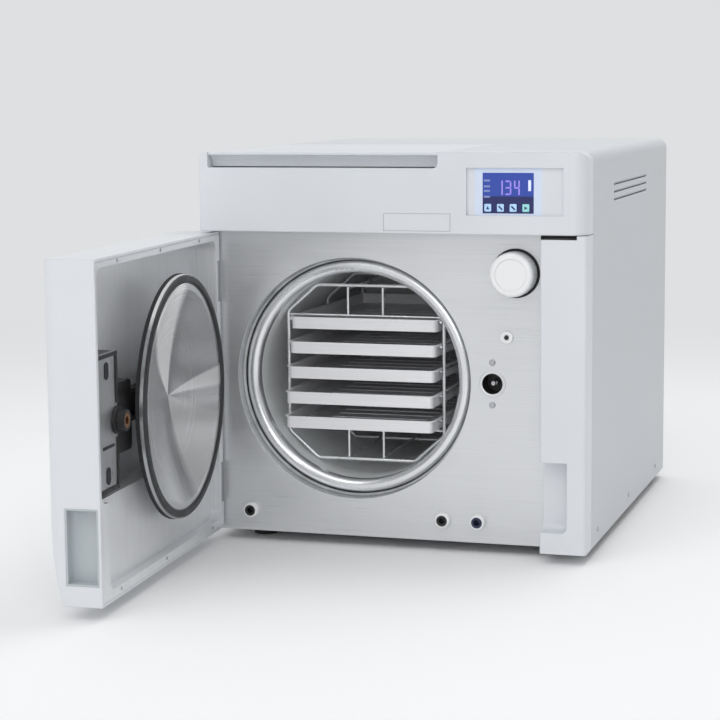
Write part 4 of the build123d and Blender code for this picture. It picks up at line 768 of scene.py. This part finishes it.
def make_port_mouth(name, x, z, front, material):
    bore, throat, collar = 3.1, 4.7, 6.5
    shape = bmesh.new()
    add_turned(shape, [(bore, front + 0.5), (bore + 0.5, front - 0.3), (collar - 0.6, front - 0.5),
                       (collar, front + 0.1), (collar, front + 0.4), (throat, front + 0.4),
                       (throat, front + 16.0), (bore, front + 16.0)], x, z)
    add_turned(shape, [(0.4, front + 3.0), (2.6, front + 4.2), (3.2, front + 6.0), (3.2, front + 7.0),
                       (0.4, front + 7.0)], x, z, 32)
    piece(f"port_mouth_{name}", shape, material, "cabinet")


def make_port_mouths():
    low, high = box_mm("quick_ports")
    z = (low.z + high.z) / 2
    make_port_mouth("left", low.x + PORT_END_IN, z, low.y, black_moulded)
    make_port_mouth("middle", high.x - PORT_MIDDLE_IN, z, low.y, black_moulded)
    make_port_mouth("right", high.x - PORT_END_IN, z, low.y, blue_moulded)


# Filter cap: grip ribs round its side

RIB_COUNT = 60
RIB_SINK = 0.3
RIB_RISE = 0.45
RIB_FOOT = 0.75              # half the width of a rib where it meets the cap
RIB_TIP = 0.3                # half its width at the top
RIB_ENDS = (6.0, 21.0)       # back from the cap's front


def make_filter_ribs():
    x, z, radius, front = round_node("air_filter")
    start, end = (front + back for back in RIB_ENDS)
    foot = radius - RIB_SINK
    tip = radius + RIB_RISE
    shape = bmesh.new()
    for k in range(RIB_COUNT):
        angle = 2 * math.pi * k / RIB_COUNT
        out = Vector((math.cos(angle), math.sin(angle)))
        side = Vector((-math.sin(angle), math.cos(angle)))
        corners = ((foot, -RIB_FOOT), (tip, -RIB_TIP), (tip, RIB_TIP), (foot, RIB_FOOT))
        add_prism(shape, [Vector((x, z)) + out * reach + side * half for reach, half in corners], start, end)
    piece("filter_ribs", shape, filter_paint, "filter")


# Side vents: a sloping blade in each slot of the right side

VENT_TOP = 420.0
VENT_PITCH = 9.0
VENT_REACH = 115.0
VENT_COUNT = 3


def make_vent_blades():
    side = box_mm("casing")[1].x
    shape = bmesh.new()
    for i in range(VENT_COUNT):
        z = VENT_TOP - VENT_PITCH * i
        section = [(side - 0.5, z + 1.5), (side - 1.6, z + 1.5), (side - 3.4, z - 1.0), (side - 2.4, z - 1.0)]
        add_prism(shape, section, -VENT_REACH, VENT_REACH)
    piece("vent_blades", shape, shaded_sheet_paint, "cabinet")


# Lock: a steel bezel over the cup's flange

def make_lock_bezel():
    x, z, _, face = round_node("lock_cup")
    bore = 11.9
    flange = 15.05
    rim = flange + 0.35
    shape = bmesh.new()
    add_turned(shape, [(bore, face + 0.1), (bore, face - 0.05), (bore + 0.4, face - 0.15),
                       (flange - 0.05, face - 0.15), (rim, face + 0.3), (rim, face + 0.75),
                       (flange, face + 0.75), (flange, face + 0.1)], x, z)
    piece("lock_bezel", shape, plate_steel, "cabinet")


# Door: black strips of painted shade on the nut's bracket, the nut's black jacket, a black band of painted
# shade round the lid, screws in the liner

EDGE_SHADE_WIDTH = 4.0
EDGE_SHADE_RISE = 1.4
EDGE_SHADE_SINK = 0.2
ARM_ROOM = 18.0              # each way from the nut's height, left free for the carrier's arm
GROMMET_UP = 54.0            # each way from the nut's height
GROMMET_HALF = 9.0
GROMMET_SIDES = (23.7, 34.3)    # from the bracket's side next to the lid
NUT_RADIUS = 11.0
RIM_SHADE_SIDES = 128
LINER_SCREWS_TOP = (-150.0, -20.0, 110.0)
LINER_SCREWS_FOOT = (-180.0, -20.0, 120.0)
LINER_TOP_IN = 2.4           # screws from the liner's upper edge
LINER_FOOT_IN = 4.7          # and from its lower edge


def make_bracket_edge_shade():
    low, high = shut_box_mm("nut_bracket")
    x0, x1, z0, z1 = low.x, high.x, low.z, high.z
    middle = (z0 + z1) / 2
    back = high.y - EDGE_SHADE_SINK
    front = high.y + EDGE_SHADE_RISE
    upright0 = x0 + 0.5
    upright1 = upright0 + EDGE_SHADE_WIDTH
    shape = bmesh.new()
    # Black strips along the bracket's edges: painted shade for the shadows of its flanges
    add_block(shape, x0, x1, back, front, z1 - 4.5, z1 - 0.5, 0.4)
    add_block(shape, x0, x1, back, front, z0 + 0.5, z0 + 5.5, 0.4)
    add_block(shape, upright0, upright1, back, front, middle + ARM_ROOM, z1 - 4.0, 0.4)
    add_block(shape, upright0, upright1, back, front, z0 + 5.0, middle - ARM_ROOM, 0.4)
    add_block(shape, x0 + 12.0, x1 - 16.0, back, high.y + 1.0, middle - 26.0, middle - 23.0, 0.4)
    piece("bracket_edge_shade", shape, black_moulded, "door", swing=True)
    holes = bmesh.new()
    left, right = (x0 + side for side in GROMMET_SIDES)
    for z in (middle + GROMMET_UP, middle - GROMMET_UP):
        add_prism(holes, round_outline(left, right, z - GROMMET_HALF, z + GROMMET_HALF, 5.0),
                  high.y - 0.1, high.y + 0.7)
    piece("bracket_grommets", holes, rubber, "door", swing=True)


def make_nut_jacket():
    low, high = shut_box_mm("lock_nut")
    face = shut_box_mm("nut_bracket")[1].y
    x, z = high.x - NUT_RADIUS, (low.z + high.z) / 2
    tip = high.y
    inner = NUT_RADIUS + 0.03
    outer = NUT_RADIUS + 0.4
    washer_in = NUT_RADIUS + 0.5
    washer_out = NUT_RADIUS + 2.9
    shape = bmesh.new()
    add_turned(shape, [(inner, face + 0.7), (outer, face + 0.7), (outer, tip - 0.7), (outer - 0.8, tip + 0.3),
                       (outer - 3.0, tip + 0.4), (outer - 3.5, tip + 0.05), (inner, tip + 0.05)], x, z)
    add_turned(shape, [(washer_in, face + 0.1), (washer_out, face + 0.1), (washer_out, face + 1.9),
                       (washer_out - 0.9, face + 2.7), (washer_in, face + 2.7)], x, z)
    piece("nut_jacket", shape, black_moulded, "door", swing=True)


def make_lid_rim_shade():
    """Black band round the rear of the lid's rim, with a bead at its edge: painted shade for the rim's dark
    back edge.
    """
    low, high = shut_box_mm("lid_plate")
    x, z = (low.x + high.x) / 2, (low.z + high.z) / 2
    rim = (high.x - low.x) / 2
    seat = shut_box_mm("lid_gasket")[0].y
    inner = rim - 0.1
    outer = rim + 0.35
    bead = rim + 0.7
    shape = bmesh.new()
    add_turned(shape, [(inner, seat - 4.6), (bead, seat - 4.4), (bead, seat - 3.4), (outer, seat - 3.0),
                       (outer, seat - 0.4), (inner, seat)], x, z, RIM_SHADE_SIDES)
    piece("lid_rim_shade", shape, rubber, "lid", swing=True)


def add_screw(shape, x, face, z, radius=3.2, out=1.0):
    """Pan-head screw with a cross in its socket, on a face at y = face. It stands out by 1.5 times out."""
    socket = 0.9
    foot = face - 0.05 * out
    add_turned(shape, [(socket, foot), (radius, foot), (radius * 0.96, face + 0.7 * out),
                       (radius * 0.7, face + 1.3 * out), (socket, face + 1.5 * out)], x, z, 32)
    arm = radius * 0.55
    half = 0.35
    for wide, tall in ((arm, half), (half, arm)):
        add_block(shape, x - wide, x + wide, face + 0.2 * out, face + 1.05 * out, z - tall, z + tall)


def make_liner_screws():
    low, high = shut_box_mm("door_liner")
    rows = ((LINER_SCREWS_TOP, high.z - LINER_TOP_IN), (LINER_SCREWS_FOOT, low.z + LINER_FOOT_IN))
    shape = bmesh.new()
    for row, z in rows:
        for x in row:
            add_screw(shape, x, high.y, z, 2.2, 0.5)
    piece("liner_screws", shape, zinc, "door", swing=True)


# Casing and rear panel: screws along their edges, and a bare plate

REAR_SCREWS_ACROSS = (-200.0, -70.0, 70.0, 200.0)
REAR_SCREW_RISES = (26.0, 446.0)
REAR_SIDE_SCREWS = (-214.0, 214.0)
REAR_SIDE_RISES = (150.0, 300.0)
SIDE_SCREWS_ALONG = (-205.0, 0.0, 205.0)
SIDE_SCREW_RISE = 28.0
PLATE_ACROSS = (-60.0, 10.0)
PLATE_UP = (50.0, 95.0)
PLATE_THICK = 0.6
RIVET_IN = 4.0               # from the plate's edges


def make_rear_screws(face):
    shape = bmesh.new()
    for x in REAR_SCREWS_ACROSS:
        for z in REAR_SCREW_RISES:
            add_screw(shape, x, face, z)
    for z in REAR_SIDE_RISES:
        for x in REAR_SIDE_SCREWS:
            add_screw(shape, x, face, z)
    piece("rear_screws", shape, zinc, "cabinet")


def make_side_screws(name, turn, face):
    """Screws along one side's foot, drawn on a rear face and turned about Z onto the side."""
    shape = bmesh.new()
    for along in SIDE_SCREWS_ALONG:
        add_screw(shape, along, face, SIDE_SCREW_RISE)
    bmesh.ops.rotate(shape, verts=shape.verts, matrix=Matrix.Rotation(math.radians(turn), 3, "Z"))
    piece(name, shape, zinc, "cabinet")


def make_casing_screws():
    corner = box_mm("casing")[1]
    make_rear_screws(corner.y)
    make_side_screws("right_screws", -90, corner.x)
    make_side_screws("left_screws", 90, corner.x)


def make_bare_plate():
    face = box_mm("rear_panel")[1].y
    front = face + PLATE_THICK
    rivet = [(0.2, front - 0.1), (1.5, front - 0.1), (1.3, front + 0.5), (0.2, front + 0.7)]
    shape = bmesh.new()
    add_prism(shape, round_outline(*PLATE_ACROSS, *PLATE_UP, 3.0), face - 0.05, front)
    for x in (PLATE_ACROSS[0] + RIVET_IN, PLATE_ACROSS[1] - RIVET_IN):
        for z in (PLATE_UP[0] + RIVET_IN, PLATE_UP[1] - RIVET_IN):
            add_turned(shape, rivet, x, z, 20)
    piece("bare_plate", shape, bare_metal, "cabinet")


make_mouth_seal()
make_casing_screws()
make_bare_plate()
make_display_marks()
make_key_icons()
make_card_slot_shade()
make_port_mouths()
make_filter_ribs()
make_vent_blades()
make_lock_bezel()
make_bracket_edge_shade()
make_nut_jacket()
make_lid_rim_shade()
make_liner_screws()


# Camera, floor and light

FLOOR_SIZE = 80.0
FLOOR_DROP = 0.0002          # below the feet
FADE_START = 0.7             # from the object's middle
FADE_END = 2.6
EYE_LEVEL = 0.04             # heights in the room's sky, from 0 at the horizon to 1 overhead
BRIGHT_LEVEL = 0.16
TOP_LEVEL = 0.55
RIGHT_STRENGTH = 0.60


def place_camera():
    yaw, pitch, roll = (math.radians(a) for a in (CAMERA_YAW, CAMERA_PITCH, CAMERA_ROLL))
    ahead = Vector((-math.sin(yaw) * math.cos(pitch), math.cos(yaw) * math.cos(pitch), -math.sin(pitch)))
    right = Vector((math.cos(yaw), math.sin(yaw), 0))
    up = right.cross(ahead)
    right_rolled = math.cos(roll) * right + math.sin(roll) * up
    up_rolled = math.cos(roll) * up - math.sin(roll) * right
    data = bpy.data.cameras.new("camera")
    data.lens = CAMERA_LENS
    data.sensor_width = CAMERA_SENSOR
    data.clip_end = CAMERA_REACH
    camera = bpy.data.objects.new("camera", data)
    turned = Matrix((right_rolled, up_rolled, -ahead)).transposed()
    camera.matrix_world = Matrix.Translation(CAMERA_PLACE) @ turned.to_4x4()
    bpy.context.scene.collection.objects.link(camera)
    bpy.context.scene.camera = camera


def fade_to_backdrop(s):
    """With distance, show cameras and mirrors the backdrop's colour in place of the shader's own."""
    far = s.between(s.vector_math("LENGTH", s.place, output="Value"), FADE_START, FADE_END,
                    interpolation="SMOOTHSTEP")
    path = s.node("ShaderNodeLightPath")
    seen = s.math("ADD", path.outputs["Is Camera Ray"], path.outputs["Is Glossy Ray"])
    seen = s.math("ADD", seen, path.outputs["Is Transmission Ray"], clamp=True)
    backdrop = s.node("ShaderNodeEmission")
    s.feed_color(BACKDROP, backdrop.inputs["Color"])
    blend = s.node("ShaderNodeMixShader")
    s.feed(s.math("MULTIPLY", far, seen), blend.inputs["Fac"])
    s.feed(s.surface.outputs[0], blend.inputs[1])
    s.feed(backdrop.outputs[0], blend.inputs[2])
    s.feed(blend.outputs[0], s.tree.nodes["Material Output"].inputs["Surface"])


def make_floor():
    """Pale floor that turns into the backdrop's colour with distance, so no edge shows."""
    bpy.ops.mesh.primitive_plane_add(size=FLOOR_SIZE, location=(0, 0, -FLOOR_DROP))
    floor = bpy.context.object
    floor.name = "floor"
    s = Shader("floor_paint")
    s.base(FLOOR, roughness=0.7, specular=0.1)
    cloud = s.noise(0.8, detail=2.0)
    s.tint(s.spread(cloud, 0.0, 1.0), FLOOR_DARK, FLOOR_LIGHT)
    fade_to_backdrop(s)
    floor.data.materials.append(s.material)


def area_light(name, place, target, size, power):
    data = bpy.data.lights.new(name, "AREA")
    data.shape = "RECTANGLE"
    data.size, data.size_y = size
    data.energy = power
    lamp = bpy.data.objects.new(name, data)
    lamp.location = place
    lamp.rotation_euler = (Vector(target) - Vector(place)).to_track_quat("-Z", "Y").to_euler()
    bpy.context.scene.collection.objects.link(lamp)


def make_world():
    """Soft room: the backdrop's colour at eye level, brighter above it, darker overhead and to the right."""
    world = bpy.data.worlds.new("studio")
    bpy.context.scene.world = world
    world.use_nodes = True
    tree = world.node_tree
    tree.nodes.clear()
    out = tree.nodes.new("ShaderNodeOutputWorld")
    room = tree.nodes.new("ShaderNodeBackground")
    direction = tree.nodes.new("ShaderNodeTexCoord")
    split = tree.nodes.new("ShaderNodeSeparateXYZ")
    ramp = tree.nodes.new("ShaderNodeValToRGB")
    tree.links.new(direction.outputs["Generated"], split.inputs[0])
    tree.links.new(split.outputs["Z"], ramp.inputs["Fac"])
    first, last = ramp.color_ramp.elements
    first.position = EYE_LEVEL
    first.color = (*BACKDROP, 1)
    last.position = TOP_LEVEL
    last.color = (*ROOM_TOP, 1)
    middle = ramp.color_ramp.elements.new(BRIGHT_LEVEL)
    middle.color = (*ROOM_MIDDLE, 1)
    right = tree.nodes.new("ShaderNodeMapRange")
    right.inputs["To Min"].default_value = 1.0
    right.inputs["To Max"].default_value = RIGHT_STRENGTH
    tree.links.new(split.outputs["X"], right.inputs["Value"])
    tree.links.new(right.outputs["Result"], room.inputs["Strength"])
    tree.links.new(ramp.outputs["Color"], room.inputs["Color"])
    tree.links.new(room.outputs[0], out.inputs["Surface"])


place_camera()
make_floor()
make_world()
area_light("key", place=(-1.5, -2.6, 2.3), target=(0, -0.1, 0.25), size=(2.2, 1.6), power=9.0)
area_light("front", place=(0.2, -2.5, 2.9), target=(0, -0.4, 0.2), size=(3.0, 2.0), power=18.0)
area_light("low", place=(0.5, -3.6, 0.9), target=(0, -0.2, 0.2), size=(1.4, 1.0), power=10.0)
area_light("top", place=(0.6, 0.4, 2.4), target=(-0.1, -0.2, 0.3), size=(1.4, 1.4), power=16.0)
bpy.context.scene.view_settings.view_transform = "Standard"
